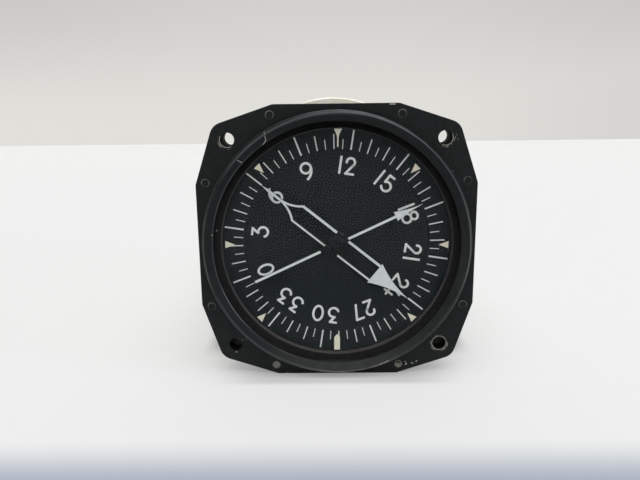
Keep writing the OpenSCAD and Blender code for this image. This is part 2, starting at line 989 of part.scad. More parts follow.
// Small round weight riveted to the single pointer's tail side
module balance_weight() {
    color("#1e1f20")
        rotate([0, single_bearing, 0])
            translate([0, 0, -weight_reach]) {
                rod(weight_r, single_front - weight_h, single_front);
                rod(weight_r / 3, single_front - weight_h / 2, single_front + pointer_t);
            }
}

module single_shaft() {
    color("#c2c7ca")
        rod(shaft_r, single_front - cap_grip, rear_back + short_machine + shaft_end);
}

// Outer edge of the double pointer's right half, from the end of its tail to its point
function double_edge() =
    let (
        x = double_span / 2 + double_w / 2,
        r = bend_r - tail_w / 2
    )
    concat(
        [[tail_w / 2, -double_tail]],
        arc([bend_r, bend_foot], r, 270, 270 + acos((bend_r - x) / r), 12),
        [[x, double_base]],
        arrow_side(double_base, double_arrow, double_arrow_w, 0.7)
    );

// Right half of the space between the bars, from where they meet to the arrowhead
function double_window() =
    let (
        x = double_span / 2 - double_w / 2,
        r = bend_r + tail_w / 2
    )
    concat(
        arc([bend_r, bend_foot], r, 270 + acos(bend_r / r), 270 + acos((bend_r - x) / r), 10),
        [[x, double_base]]
    );

module double_pointer() {
    color("#c4cccb")
        rotate([0, double_bearing, 0])
            slab(double_front, double_front + pointer_t)
                difference() {
                    polygon(both_halves(double_edge()));
                    difference() {
                        polygon(both_halves(double_window()));
                        circle(r = double_disc_r);
                    }
                    circle(r = tube_r + seat_gap);
                }
}

module double_tube() {
    collar = double_front + pointer_t;
    end = middle_back + short_machine + shaft_end;
    color("#b5babd")
        turned()
            polygon([
                [tube_bore, tube_front], [tube_r, tube_front], [tube_r, collar],
                [tube_collar_r, collar], [tube_collar_r, collar + tube_collar_h],
                [tube_r, collar + tube_collar_h], [tube_r, end], [tube_bore, end]
            ]);
}

module tube_bushes() {
    end = middle_back + short_machine + shaft_end;
    color("#b08d4f") {
        ring(tube_bush_bore, tube_bore, tube_front, tube_front + bush_len);
        ring(tube_bush_bore, tube_bore, end - bush_len, end);
    }
}

// Body of a motor or synchro, its face on a plate and its pilot in the plate
module machine_body(face, length, shaft) {
    bore = shaft + running_gap + machine_bush_wall;
    cavity = rotor_r + rotor_clear;
    start = face + machine_front_wall;
    end = face + length;
    groove = face + clamp_groove_y;
    turned()
        polygon([
            [bore, face - pilot_h], [pilot_r, face - pilot_h], [pilot_r, face],
            [machine_r, face], [machine_r, groove], [machine_r - clamp_groove_h, groove],
            [machine_r - clamp_groove_h, groove + clamp_groove_w],
            [machine_r, groove + clamp_groove_w], [machine_r, end - rear_cap_h],
            [rear_cap_r, end - rear_cap_h], [rear_cap_r, end - 0.5], [rear_cap_r - 0.5, end],
            [bore, end], [bore, end - machine_rear_wall], [cavity, end - machine_rear_wall],
            [cavity, start], [bore, start]
        ]);
}

// Front and rear bush of a motor or synchro
module bush_pair(face, length, shaft) {
    bore = shaft + running_gap;
    end = face + length;
    ring(bore, bore + machine_bush_wall, face - pilot_h, face - pilot_h + bush_len);
    ring(bore, bore + machine_bush_wall, end - bush_len, end);
}

// Slotted rotor stack of a motor or synchro, on its shaft
module rotor_stack(face, length, shaft) {
    slots = 8;
    slot_w = 1;
    slot_h = 1.2;
    front = face + machine_front_wall + rotor_end_gap;
    back = face + length - machine_rear_wall - rotor_end_gap;
    slab(front, back)
        difference() {
            circle(r = rotor_r);
            circle(r = shaft + seat_gap);
            for (i = [0:slots - 1])
                rotate(360 * i / slots)
                    translate([-slot_w / 2, rotor_r - slot_h])
                        square([slot_w, slot_h + 1]);
        }
}

module single_stator() {
    color("#7d8386")
        machine_body(rear_back, short_machine, shaft_r);
}

module double_stator() {
    color("#7d8386")
        machine_body(middle_back, short_machine, tube_r);
}

module servo_motor() {
    color("#6f7578")
        at_motor()
            machine_body(plate_back, long_machine, output_r);
}

module heading_stator() {
    color("#7d8386")
        at_synchro()
            machine_body(plate_back, long_machine, output_r);
}

module single_rotor() {
    color("#8a5f3a")
        rotor_stack(rear_back, short_machine, shaft_r);
}

module double_rotor() {
    color("#8a5f3a")
        rotor_stack(middle_back, short_machine, tube_r);
}

// Rotor and shaft in one, for the two machines that stand beside the axis
module geared_rotor(shaft_front) {
    rod(output_r, shaft_front, plate_back + long_machine + shaft_end);
    rotor_stack(plate_back, long_machine, output_r - 2 * seat_gap);
}

module motor_rotor() {
    color("#8a5f3a")
        at_motor()
            geared_rotor(card_gear_front - pinion_extra - 0.4);
}

module motor_pinion() {
    front = card_gear_front - pinion_extra;
    back = card_gear_front + gear_t + pinion_extra;
    color("#c3a765")
        at_motor()
            rotate([0, 180 + 180 / pinion_teeth, 0])
                slab(front, back)
                    difference() {
                        gear_outline(pinion_teeth);
                        circle(r = output_r + seat_gap);
                    }
}

module heading_rotor() {
    color("#8a5f3a")
        at_synchro()
            geared_rotor(heading_gear_front - free_gap);
}

module synchro_gear() {
    web_reach = (output_r + heading_teeth * gear_module / 2) / 2 + 0.6;
    boss_r = output_r + 1.4;
    color("#c3a765")
        at_synchro()
            rotate([0, 180 + 180 / heading_teeth, 0])
                difference() {
                    union() {
                        slab(heading_gear_front, hub_end)
                            gear_outline(heading_teeth);
                        rod(boss_r, hub_end - 0.5, hub_end + 0.8);
                    }
                    rod(output_r + seat_gap, heading_gear_front - 1, hub_end + 2);
                    for (i = [0:4])
                        at_clock(web_reach, 72 * i)
                            rod(1.8, heading_gear_front - 1, hub_end + 2);
                }
}

module machine_bushes() {
    color("#b08d4f") {
        bush_pair(rear_back, short_machine, shaft_r);
        bush_pair(middle_back, short_machine, tube_r);
        at_motor()
            bush_pair(plate_back, long_machine, output_r);
        at_synchro()
            bush_pair(plate_back, long_machine, output_r);
    }
}

// Copies what follows to the clamps of the four machines, at the back of their plates
module at_clamps() {
    for (turn = clamp_turns) {
        at_motor()
            at_clock(clamp_reach, turn)
                translate([0, plate_back, 0])
                    children();
        at_synchro()
            at_clock(clamp_reach, turn)
                translate([0, plate_back, 0])
                    children();
        at_clock(clamp_reach, turn)
            translate([0, middle_back, 0])
                children();
        at_clock(clamp_reach, turn)
            translate([0, rear_back, 0])
                children();
    }
}

module machine_clamps() {
    foot = clamp_groove_y + (clamp_groove_w - clamp_t) / 2;
    color("#9aa0a3")
        at_clamps()
            difference() {
                union() {
                    rod(clamp_post_r, 0, foot + clamp_t / 2);
                    rod(clamp_disc_r, foot, foot + clamp_t);
                }
                rod(clamp_screw_r + seat_gap, -1, foot + clamp_t + 1);
            }
}

module clamp_screws() {
    seat = clamp_groove_y + (clamp_groove_w + clamp_t) / 2;
    color("#8f9598")
        at_clamps()
            rear_screw(clamp_screw_r, clamp_screw_head_r, clamp_screw_head_h, seat, -plate_t + 0.2);
}

module amplifier_board() {
    color("#5d6b3c")
        difference() {
            ring(board_bore, board_d / 2, board_front, board_back);
            for (angle = standoff_angles)
                at_clock(standoff_reach, angle)
                    rod(stud_r + seat_gap, board_front - 1, board_back + 1);
        }
}

// Transformer, capacitors, transistors and resistors on the board
module board_parts() {
    transformer = [14, 9, 10];
    part_reach = 20.5;
    can_part_r = 4.1;
    resistor_r = 1.2;
    color("#6a5a44")
        at_clock(part_reach, 0)
            translate([-transformer[0] / 2, board_back, -transformer[2] / 2])
                cube(transformer);
    color("#3b5f86")
        for (angle = [105, 130, 230])
            at_clock(part_reach, angle)
                rod(3.2, board_back, board_back + 11);
    color("#b9bcc0")
        for (angle = [36, 324])
            at_clock(part_reach, angle) {
                rod(can_part_r, board_back, board_back + 5.5);
                rod(can_part_r + 0.5, board_back, board_back + 0.8);
            }
    color("#a8814f")
        for (angle = [255, 272, 289])
            rotate([0, angle, 0])
                translate([0, board_back + resistor_r + seat_gap, 14])
                    cylinder(r = resistor_r, h = 10);
}

module board_standoffs() {
    color("#9aa0a3")
        for (angle = standoff_angles)
            at_clock(standoff_reach, angle)
                difference() {
                    union() {
                        rod(standoff_r, rear_back, board_front);
                        rod(stud_r, rear_front + 0.2, rear_back + 1);
                    }
                    rod(stud_r + seat_gap, board_front - stud_hole, board_front + 1);
                }
}

module board_screws() {
    color("#8f9598")
        for (angle = standoff_angles)
            at_clock(standoff_reach, angle)
                rear_screw(stud_r, screw_head_r, screw_head_h, board_back, board_front - 4);
}

module at_connector_screws() {
    for (x = [-conn_screw_pitch / 2, conn_screw_pitch / 2])
        for (z = [-conn_screw_pitch / 2, conn_screw_pitch / 2])
            translate([x, 0, z])
                children();
}

module connector_shell() {
    key_w = 1.4;
    key_h = 0.9;
    color("#5b5f55")
        difference() {
            union() {
                slab(cover_back, conn_face)
                    square([conn_flange, conn_flange], center = true);
                turned()
                    polygon([
                        [0, insert_front], [conn_neck_r, insert_front],
                        [conn_neck_r, cover_back + 0.5], [conn_r, cover_back + 0.5],
                        [conn_r, conn_end - 0.6], [conn_r - 0.6, conn_end], [0, conn_end]
                    ]);
            }
            difference() {
                rod(conn_bore, insert_front - 1, conn_end + 1);
                slab(insert_back, conn_end - 1)
                    translate([-key_w / 2, conn_bore - key_h])
                        square([key_w, key_h + 1]);
            }
            at_connector_screws()
                rod(conn_screw_r + seat_gap, cover_back - 1, conn_face + 1);
        }
}

module at_pins() {
    for (set = pin_rings)
        for (i = [0:set[0] - 1])
            at_clock(set[1], 360 * i / set[0])
                children();
}

module connector_insert() {
    color("#2f3a34")
        difference() {
            rod(conn_bore - seat_gap, insert_front, insert_back);
            at_pins()
                rod(pin_r + seat_gap, insert_front - 1, insert_back + 1);
        }
}

module connector_pins() {
    color("#cdb26a")
        at_pins() {
            rod(pin_r, insert_front - pin_tail, insert_back + pin_reach - pin_r);
            translate([0, insert_back + pin_reach - pin_r, 0])
                sphere(r = pin_r, $fn = 24);
        }
}

module connector_screws() {
    color("#9ea3a3")
        at_connector_screws()
            rear_screw(conn_screw_r, 1.7, 1, conn_face, case_depth - 0.8);
}

front_bezel();
flange_rivets();
glass_gasket();
cover_glass();
index_mask();
glass_retainer();
backing_frame();
case_can();
closing_band();
rear_cover();
cover_screws();
front_plate();
middle_plate();
rear_plate();
front_posts();
middle_posts();
rear_posts();
post_screws();
fixed_sleeve();
sleeve_nut();
sleeve_bushes();
bearing_inner_race();
bearing_balls();
bearing_outer_race();
compass_card();
card_hub();
card_gear();
gear_spacer();
heading_gear();
gear_screws();
single_pointer();
pointer_cap();
balance_weight();
single_shaft();
single_rotor();
double_pointer();
double_tube();
tube_bushes();
double_rotor();
single_stator();
double_stator();
servo_motor();
motor_rotor();
motor_pinion();
heading_stator();
heading_rotor();
synchro_gear();
machine_bushes();
machine_clamps();
clamp_screws();
amplifier_board();
board_parts();
board_standoffs();
board_screws();
connector_shell();
connector_insert();
connector_pins();
connector_screws();
mounting_nuts();
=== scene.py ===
"""Looks of a panel instrument with a turning compass card and two bearing pointers.

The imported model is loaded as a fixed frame. Each operator finishes some of its parts or adds one
piece or one group of like pieces. Sizes are in metres, in the frame's own axes: X is right, Y runs
into the panel and Z is up, with the instrument's axis along Y and the flange's front face at y = 0.
"""

import math

import bmesh
import bpy
from mathutils import Matrix, Vector


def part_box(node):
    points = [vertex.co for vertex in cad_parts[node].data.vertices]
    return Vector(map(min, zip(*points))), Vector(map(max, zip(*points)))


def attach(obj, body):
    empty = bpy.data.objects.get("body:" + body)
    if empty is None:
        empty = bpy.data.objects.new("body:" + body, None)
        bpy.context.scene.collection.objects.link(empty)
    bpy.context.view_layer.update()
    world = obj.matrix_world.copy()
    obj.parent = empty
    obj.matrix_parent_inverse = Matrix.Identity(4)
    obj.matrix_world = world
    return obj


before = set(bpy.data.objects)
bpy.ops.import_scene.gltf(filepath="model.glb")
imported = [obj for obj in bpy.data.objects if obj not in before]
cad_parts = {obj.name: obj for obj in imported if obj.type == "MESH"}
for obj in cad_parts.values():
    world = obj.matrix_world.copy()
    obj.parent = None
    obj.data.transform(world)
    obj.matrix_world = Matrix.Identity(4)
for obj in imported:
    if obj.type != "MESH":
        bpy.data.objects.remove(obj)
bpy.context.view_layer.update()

bl_info = {
    "name": "Bearing Indicator Looks",
    "version": (1, 0, 0),
    "blender": (4, 5, 0),
    "location": "3D View > Sidebar > Indicator",
    "description": "Finishes, dial markings, wear and studio for a panel bearing indicator",
    "category": "Object",
}

MM = 0.001

# Depths and half a width read from the frame
GLASS_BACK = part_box("cover_glass")[1].y
CARD_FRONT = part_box("compass_card")[0].y
CREST_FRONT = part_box("front_bezel")[0].y
FLANGE_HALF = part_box("backing_frame")[1].x

# The bezel's ring from its outside inwards: bevel, crest, and cone down to the lip at the glass
RING_RADIUS = 39.7 * MM
BEVEL_WIDTH = 0.8 * MM
BEVEL_DEPTH = 1.1 * MM
CREST_RADIUS = RING_RADIUS - BEVEL_WIDTH
CREST_WIDTH = 0.35 * MM
LIP_RADIUS = 36.6 * MM
LIP_FRONT = -2.75 * MM

# Mounting holes, rivets, and the middle of the card, which lies deeper than its scale
HOLE_OFFSET = 31.435 * MM
HOLE_RADIUS = 2.05 * MM
RIVET_INSET = 2.9 * MM
RIVET_OFFSET = 19 * MM
RIVET_STEP = 19.375 * MM
RIVET_RADIUS = 1.14 * MM
CARD_SUNK_DEPTH = 0.25 * MM

# Clock positions at rest, in degrees from the top
HEADING = 111.1
SINGLE_BEARING = 64.9
DOUBLE_BEARING = 129.0

BLACK = (0, 0, 0)


def clock_point(reach, angle):
    """The point (x, z) at a radius and a clock angle in degrees."""
    return reach * math.sin(math.radians(angle)), reach * math.cos(math.radians(angle))


# Axes of the servo motor and of the heading synchro, as points (x, z)
MOTOR_AXIS = clock_point(27 * MM, 240)
SYNCHRO_AXIS = clock_point(20 * MM, 60)


class StageSettings(bpy.types.PropertyGroup):
    """Camera, lamps and surroundings."""

    camera_place: bpy.props.FloatVectorProperty(
        name="Camera place", description="Where the camera stands",
        default=(-2.555 * MM, -183.739 * MM, 44.195 * MM), subtype="TRANSLATION", unit="LENGTH",
    )
    camera_turn: bpy.props.FloatVectorProperty(
        name="Camera turn", description="Turn of the camera about X, Y and Z",
        default=tuple(math.radians(a) for a in (76.934, 0.685, 0.591)), subtype="EULER",
    )
    camera_lens: bpy.props.FloatProperty(
        name="Lens", description="Focal length on a sensor 36 mm wide", default=35.557,
    )
    floor_colour: bpy.props.FloatVectorProperty(
        name="Floor", description="Colour of the table", subtype="COLOR",
        default=(0.838, 0.838, 0.838),
    )
    # Painted bluish shade on the table in front of the instrument
    front_shade_colour: bpy.props.FloatVectorProperty(
        name="Floor front", description="Colour of the table in front of the instrument",
        subtype="COLOR", default=(0.36, 0.41, 0.50),
    )
    floor_glow: bpy.props.FloatProperty(
        name="Floor glow", description="Share of the table's paleness that shadows don't darken",
        default=0.42, subtype="FACTOR",
    )
    wall_colour: bpy.props.FloatVectorProperty(
        name="Wall", description="Colour of the wall behind the table", subtype="COLOR",
        default=(0.752, 0.743, 0.708),
    )
    wall_shade: bpy.props.FloatVectorProperty(
        name="Wall shade", description="Colour of the wall where less light falls on it",
        subtype="COLOR", default=(0.572, 0.563, 0.553),
    )
    wall_distance: bpy.props.FloatProperty(
        name="Wall distance", description="Distance of the wall from the flange", default=1.125,
        unit="LENGTH",
    )
    sky_strength: bpy.props.FloatProperty(
        name="Ambient light", description="Strength of the light from all round", default=0.42,
    )
    key_strength: bpy.props.FloatProperty(
        name="Key light", description="Strength of the wide soft light from above the front",
        default=2.0,
    )
    key_spread: bpy.props.FloatProperty(
        name="Key spread", description="Angle across which the key light comes",
        default=math.radians(62), subtype="ANGLE",
    )
    window_power: bpy.props.FloatProperty(
        name="Window lamp", description="Power of the cool lamp at the right", default=0.9,
        unit="POWER",
    )


class DialSettings(bpy.types.PropertyGroup):
    """Numerals, scale and index marks."""

    numeral_height: bpy.props.FloatProperty(
        name="Numeral height", description="Height of a numeral between its stroke centres",
        default=4.7 * MM, unit="LENGTH",
    )
    numeral_stroke: bpy.props.FloatProperty(
        name="Numeral stroke", description="Width of a numeral's stroke", default=0.70 * MM,
        unit="LENGTH",
    )
    numeral_reach: bpy.props.FloatProperty(
        name="Numeral radius", description="Radius of the numerals' middles",
        default=23.3 * MM, unit="LENGTH",
    )
    print_shift: bpy.props.FloatProperty(
        name="Print shift", description="How far the numerals are printed off the card's centre",
        default=0.23 * MM, unit="LENGTH",
    )
    scale_inner: bpy.props.FloatProperty(
        name="Scale radius", description="Radius of the inner ends of the scale lines",
        default=28.3 * MM, unit="LENGTH",
    )
    index_reach: bpy.props.FloatProperty(
        name="Index radius", description="Radius of the index marks' outer ends",
        default=33.25 * MM, unit="LENGTH",
    )
    paint_height: bpy.props.FloatProperty(
        name="Paint height", description="How far the printed markings stand proud",
        default=0.03 * MM, unit="LENGTH",
    )


class FinishSettings(bpy.types.PropertyGroup):
    """Main colours of the instrument."""

    enamel: bpy.props.FloatVectorProperty(
        name="Enamel", description="Satin black of the flange and ring",
        subtype="COLOR", default=(0.0078, 0.0098, 0.0102),
    )
    bare_metal: bpy.props.FloatVectorProperty(
        name="Bare metal", description="Metal where the enamel is worn off",
        subtype="COLOR", default=(0.42, 0.41, 0.35),
    )
    dial: bpy.props.FloatVectorProperty(
        name="Dial", description="Matt black of the compass card",
        subtype="COLOR", default=(0.0102, 0.0134, 0.0150),
    )
    marking: bpy.props.FloatVectorProperty(
        name="Markings", description="White of the numerals and scale",
        subtype="COLOR", default=(0.60, 0.617, 0.602),
    )
    pointer: bpy.props.FloatVectorProperty(
        name="Pointers", description="White of the pointers",
        subtype="COLOR", default=(0.565, 0.595, 0.590),
    )
    index: bpy.props.FloatVectorProperty(
        name="Index marks", description="Cream of the marks on the glass",
        subtype="COLOR", default=(0.64, 0.62, 0.50),
    )
    plating: bpy.props.FloatVectorProperty(
        name="Case plating", description="Dull plating of the case and cover",
        subtype="COLOR", default=(0.76, 0.76, 0.695),
    )
    brass: bpy.props.FloatVectorProperty(
        name="Brass", description="Colour of the gears",
        subtype="COLOR", default=(0.60, 0.43, 0.17),
    )


class Output:
    """What a node gives out. Arithmetic on it adds nodes to the same material."""

    def __init__(self, paint, socket):
        self.paint = paint
        self.socket = socket

    def __add__(self, other):
        return self.paint.calc("ADD", self, other)

    def __sub__(self, other):
        return self.paint.calc("SUBTRACT", self, other)

    def __rsub__(self, other):
        return self.paint.calc("SUBTRACT", other, self)

    def __mul__(self, other):
        return self.paint.calc("MULTIPLY", self, other)

    def __truediv__(self, other):
        return self.paint.calc("DIVIDE", self, other)

    def __abs__(self):
        return self.paint.calc("ABSOLUTE", self)

    __radd__ = __add__
    __rmul__ = __mul__

    def sign(self):
        return self.paint.calc("SIGN", self)

    def sine(self):
        return self.paint.calc("SINE", self)

    def waves(self, pitch):
        """Swings between -1 and 1, once in each pitch."""
        return (self * (2 * math.pi / pitch)).sine()

    def over(self, limit):
        """1 where this is greater than the limit, and 0 elsewhere."""
        return self.paint.calc("GREATER_THAN", self, limit)

    def below(self, limit):
        """1 where this is less than the limit, and 0 elsewhere."""
        return self.paint.calc("LESS_THAN", self, limit)

    def fade(self, start, end):
        """Smooth change from 0 at start to 1 at end."""
        limits = {"Value": self, "From Min": start, "From Max": end}
        return self.paint.add("MapRange", "Result", limits, interpolation_type="SMOOTHSTEP")

    def band(self, middle, half, soft):
        """1 within half of the middle, fading to 0 over soft."""
        return abs(self - middle).fade(half + soft, half)

    def range(self, low, high):
        """Stretches a noise value to run about from low to high."""
        limits = {"Value": self, "From Min": 0.3, "From Max": 0.7, "To Min": low, "To Max": high}
        return self.paint.add("MapRange", "Result", limits)


def most(first, *rest):
    """The greatest of several outputs at each point."""
    for other in rest:
        first = first.paint.calc("MAXIMUM", first, other)
    return first


def hypot(a, b):
    return a.paint.calc("SQRT", a * a + b * b)


def scaled(colour, factor):
    return [c * factor for c in colour]


class Finish:
    """One material while its nodes are put together."""

    def __init__(self, name):
        self.material = bpy.data.materials.new(name)
        self.material.use_nodes = True
        self.nodes = self.material.node_tree.nodes
        self.shader = self.nodes["Principled BSDF"]
        self.place = self.add("TexCoord", "Object")
        self.x, self.y, self.z = (self.add("SeparateXYZ", axis, {0: self.place}) for axis in "XYZ")

    def add(self, kind, output, inputs=None, **settings):
        """Adds a shader node, with its inputs by name or number, and returns one of its outputs."""
        node = self.nodes.new("ShaderNode" + kind)
        for name, value in settings.items():
            setattr(node, name, value)
        for name, value in (inputs or {}).items():
            self.feed(node.inputs[name], value)
        return Output(self, node.outputs[output])

    def feed(self, socket, value):
        """Sets a socket to a value, or links a node's output to it."""
        if isinstance(value, Output):
            self.material.node_tree.links.new(value.socket, socket)
        elif socket.type == "RGBA":
            socket.default_value = (*value, 1)
        else:
            socket.default_value = value

    def surface(self, **values):
        """Feeds the shader's sockets, named in lower case with underscores."""
        sockets = {s.name.lower().replace(" ", "_"): s for s in self.shader.inputs}
        for name, value in values.items():
            self.feed(sockets[name], value)

    def show(self, share, shader):
        """Shows another shader in place of the plain one where the share is 1."""
        plain = Output(self, self.shader.outputs[0])
        mixed = self.add("MixShader", 0, {0: share, 1: plain, 2: shader})
        self.feed(self.nodes["Material Output"].inputs["Surface"], mixed)

    def calc(self, operation, *values):
        return self.add("Math", 0, dict(enumerate(values)), operation=operation)

    def radius(self, centre=(0, 0)):
        """Distance from a line along Y through centre, a point (x, z)."""
        return hypot(self.x - centre[0], self.z - centre[1])

    def towards(self, across, up):
        """Distance from the axis measured along a direction (x, z)."""
        return self.x * across + self.z * up

    def stretched(self, scale):
        """Object coordinates scaled along each axis, for grain and streaks."""
        return self.add("Mapping", 0, {"Vector": self.place, "Scale": scale})

    def noise(self, scale, detail=2.0, roughness=0.5, vector=None):
        pattern = {"Scale": scale, "Detail": detail, "Roughness": roughness}
        return self.add("TexNoise", "Fac", {"Vector": vector or self.place, **pattern})

    def mix(self, factor, first, second):
        """The first colour where the factor is 0 and the second where it is 1."""
        return self.add("Mix", 2, {0: factor, 6: first, 7: second}, data_type="RGBA")

    def mottled(self, colour, scale, amount):
        """The colour, a little darker and lighter from place to place."""
        lighter = self.noise(scale, 4, 0.6).fade(0.35, 0.65)
        return self.mix(lighter, scaled(colour, 1 - amount), scaled(colour, 1 + amount))

    def bump(self, height, distance, strength=1.0):
        relief = {"Height": height, "Distance": distance, "Strength": strength}
        self.feed(self.shader.inputs["Normal"], self.add("Bump", "Normal", relief))
        return self


def clothe(finish, *nodes):
    """Gives CAD nodes a finish."""
    for name in nodes:
        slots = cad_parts[name].data.materials
        slots.clear()
        slots.append(finish.material)


def clock_matrix(angle, reach=0.0, depth=0.0):
    """Places a shape drawn flat in XY, its face along Z, at a clock position, facing front."""
    turn = Matrix.Rotation(math.radians(angle), 4, "Y")
    return turn @ Matrix.Translation((0, depth, reach)) @ Matrix.Rotation(math.pi / 2, 4, "X")


def of_kind(parts, kind):
    return [part for part in parts if isinstance(part, kind)]


def thicken(bm, faces, height):
    """Makes flat faces that look along Z into closed plates that stand on z = 0."""
    made = bmesh.ops.extrude_face_region(bm, geom=faces, use_keep_orig=True)
    raised = of_kind(made["geom"], bmesh.types.BMVert)
    bmesh.ops.translate(bm, verts=raised, vec=(0, 0, height))
    bmesh.ops.reverse_faces(bm, faces=faces)
    return raised


def face_up(bm, faces):
    """Turns flat faces so that they look along Z."""
    bmesh.ops.recalc_face_normals(bm, faces=faces)
    if faces[0].normal.z < 0:
        bmesh.ops.reverse_faces(bm, faces=faces)


def linked_verts(faces):
    return list({v for f in faces for v in f.verts})


def add_disc(bm, centre, radius, height, steps=16):
    place = Matrix.Translation((*centre, 0))
    made = bmesh.ops.create_circle(bm, cap_ends=True, segments=steps, radius=radius, matrix=place)
    return made["verts"] + thicken(bm, made["verts"][0].link_faces[:], height)


def add_bar(bm, start, end, width, height, steps=16):
    """Flat bar with round ends between two points."""
    start = Vector(start)
    along = Vector(end) - start
    made = bmesh.ops.create_circle(
        bm, cap_ends=True, segments=steps, radius=width / 2,
        matrix=Matrix.Rotation(math.pi / steps, 4, "Z"),
    )
    far = [v for v in made["verts"] if v.co.y > 0]
    bmesh.ops.translate(bm, verts=far, vec=(0, along.length, 0))
    verts = made["verts"] + thicken(bm, made["verts"][0].link_faces[:], height)
    turn = Matrix.Rotation(math.atan2(-along.x, along.y), 4, "Z")
    bmesh.ops.transform(bm, matrix=Matrix.Translation((*start, 0)) @ turn, verts=verts)
    return verts


def add_bow(bm, centre, radius, start, sweep, width, height):
    """Flat arc with round ends. Angles are degrees anticlockwise from the X axis."""
    degrees_per_step = 12
    fewest_steps = 6
    end_rise = 0.002 * MM
    turn = Matrix.Rotation(math.radians(start), 3, "Z")
    pair = [bm.verts.new(turn @ Vector((radius + side * width / 2, 0, 0))) for side in (-1, 1)]
    edge = bm.edges.new(pair)
    bmesh.ops.spin(
        bm, geom=pair + [edge], cent=(0, 0, 0), axis=(0, 0, 1), dvec=(0, 0, 0),
        angle=math.radians(sweep), steps=max(fewest_steps, round(abs(sweep) / degrees_per_step)),
        use_duplicate=False,
    )
    strip = walk(pair[0].link_faces[0])
    face_up(bm, strip)
    verts = linked_verts(strip) + thicken(bm, strip, height)
    bmesh.ops.translate(bm, verts=verts, vec=(*centre, 0))
    ends = [Matrix.Rotation(math.radians(start + a), 2) @ Vector((radius, 0)) for a in (0, sweep)]
    for i, end in enumerate(ends):
        verts += add_disc(bm, Vector(centre) + end, width / 2, height + (i + 1) * end_rise)
    return verts


def walk(face):
    """All faces that are joined to one face through shared edges."""
    found = [face]
    for f in found:
        for edge in f.edges:
            found.extend(other for other in edge.link_faces if other not in found)
    return found


def add_loop(bm, centre, half_width, half_height, width, height, steps=32):
    """Flat closed ring, round or oval, with the same stroke all round."""
    rims = []
    for side in (-1, 1):
        half_stroke = side * width / 2
        size = Matrix.Diagonal((half_width + half_stroke, half_height + half_stroke, 1, 1))
        rims.append(bmesh.ops.create_circle(bm, segments=steps, radius=1, matrix=size)["verts"])
    edges = {e for rim in rims for v in rim for e in v.link_edges}
    faces = bmesh.ops.bridge_loops(bm, edges=list(edges))["faces"]
    face_up(bm, faces)
    verts = rims[0] + rims[1] + thicken(bm, faces, height)
    bmesh.ops.translate(bm, verts=verts, vec=(*centre, 0))
    return verts


def add_taper(bm, sections, height):
    """Flat strip along -Y. Each section is its distance from the start and its width there."""
    (start, width), *rest = sections
    pair = [bm.verts.new((side * width / 2, -start, 0)) for side in (-1, 1)]
    edges = [bm.edges.new(pair)]
    faces = []
    for distance, wide in rest:
        made = bmesh.ops.extrude_edge_only(bm, edges=edges)["geom"]
        verts = of_kind(made, bmesh.types.BMVert)
        for v in verts:
            v.co = (math.copysign(wide / 2, v.co.x), -distance, 0)
        edges = [e for e in of_kind(made, bmesh.types.BMEdge) if all(v in verts for v in e.verts)]
        faces += of_kind(made, bmesh.types.BMFace)
    face_up(bm, faces)
    return linked_verts(faces) + thicken(bm, faces, height)


def add_object(name, bm, material):
    """Turns a bmesh into an object in the scene."""
    mesh = bpy.data.meshes.new(name)
    bm.to_mesh(mesh)
    bm.free()
    mesh.materials.append(material)
    made = bpy.data.objects.new(name, mesh)
    bpy.context.scene.collection.objects.link(made)
    return made


def add_piece(name, bm, finish, body):
    """Turns a bmesh into a named piece that rides on a body."""
    bmesh.ops.recalc_face_normals(bm, faces=bm.faces)
    piece = add_object(name, bm, finish.material)
    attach(piece, body)


class IndicatorOperator:
    """Lets every operator be undone."""

    bl_options = {"REGISTER", "UNDO"}


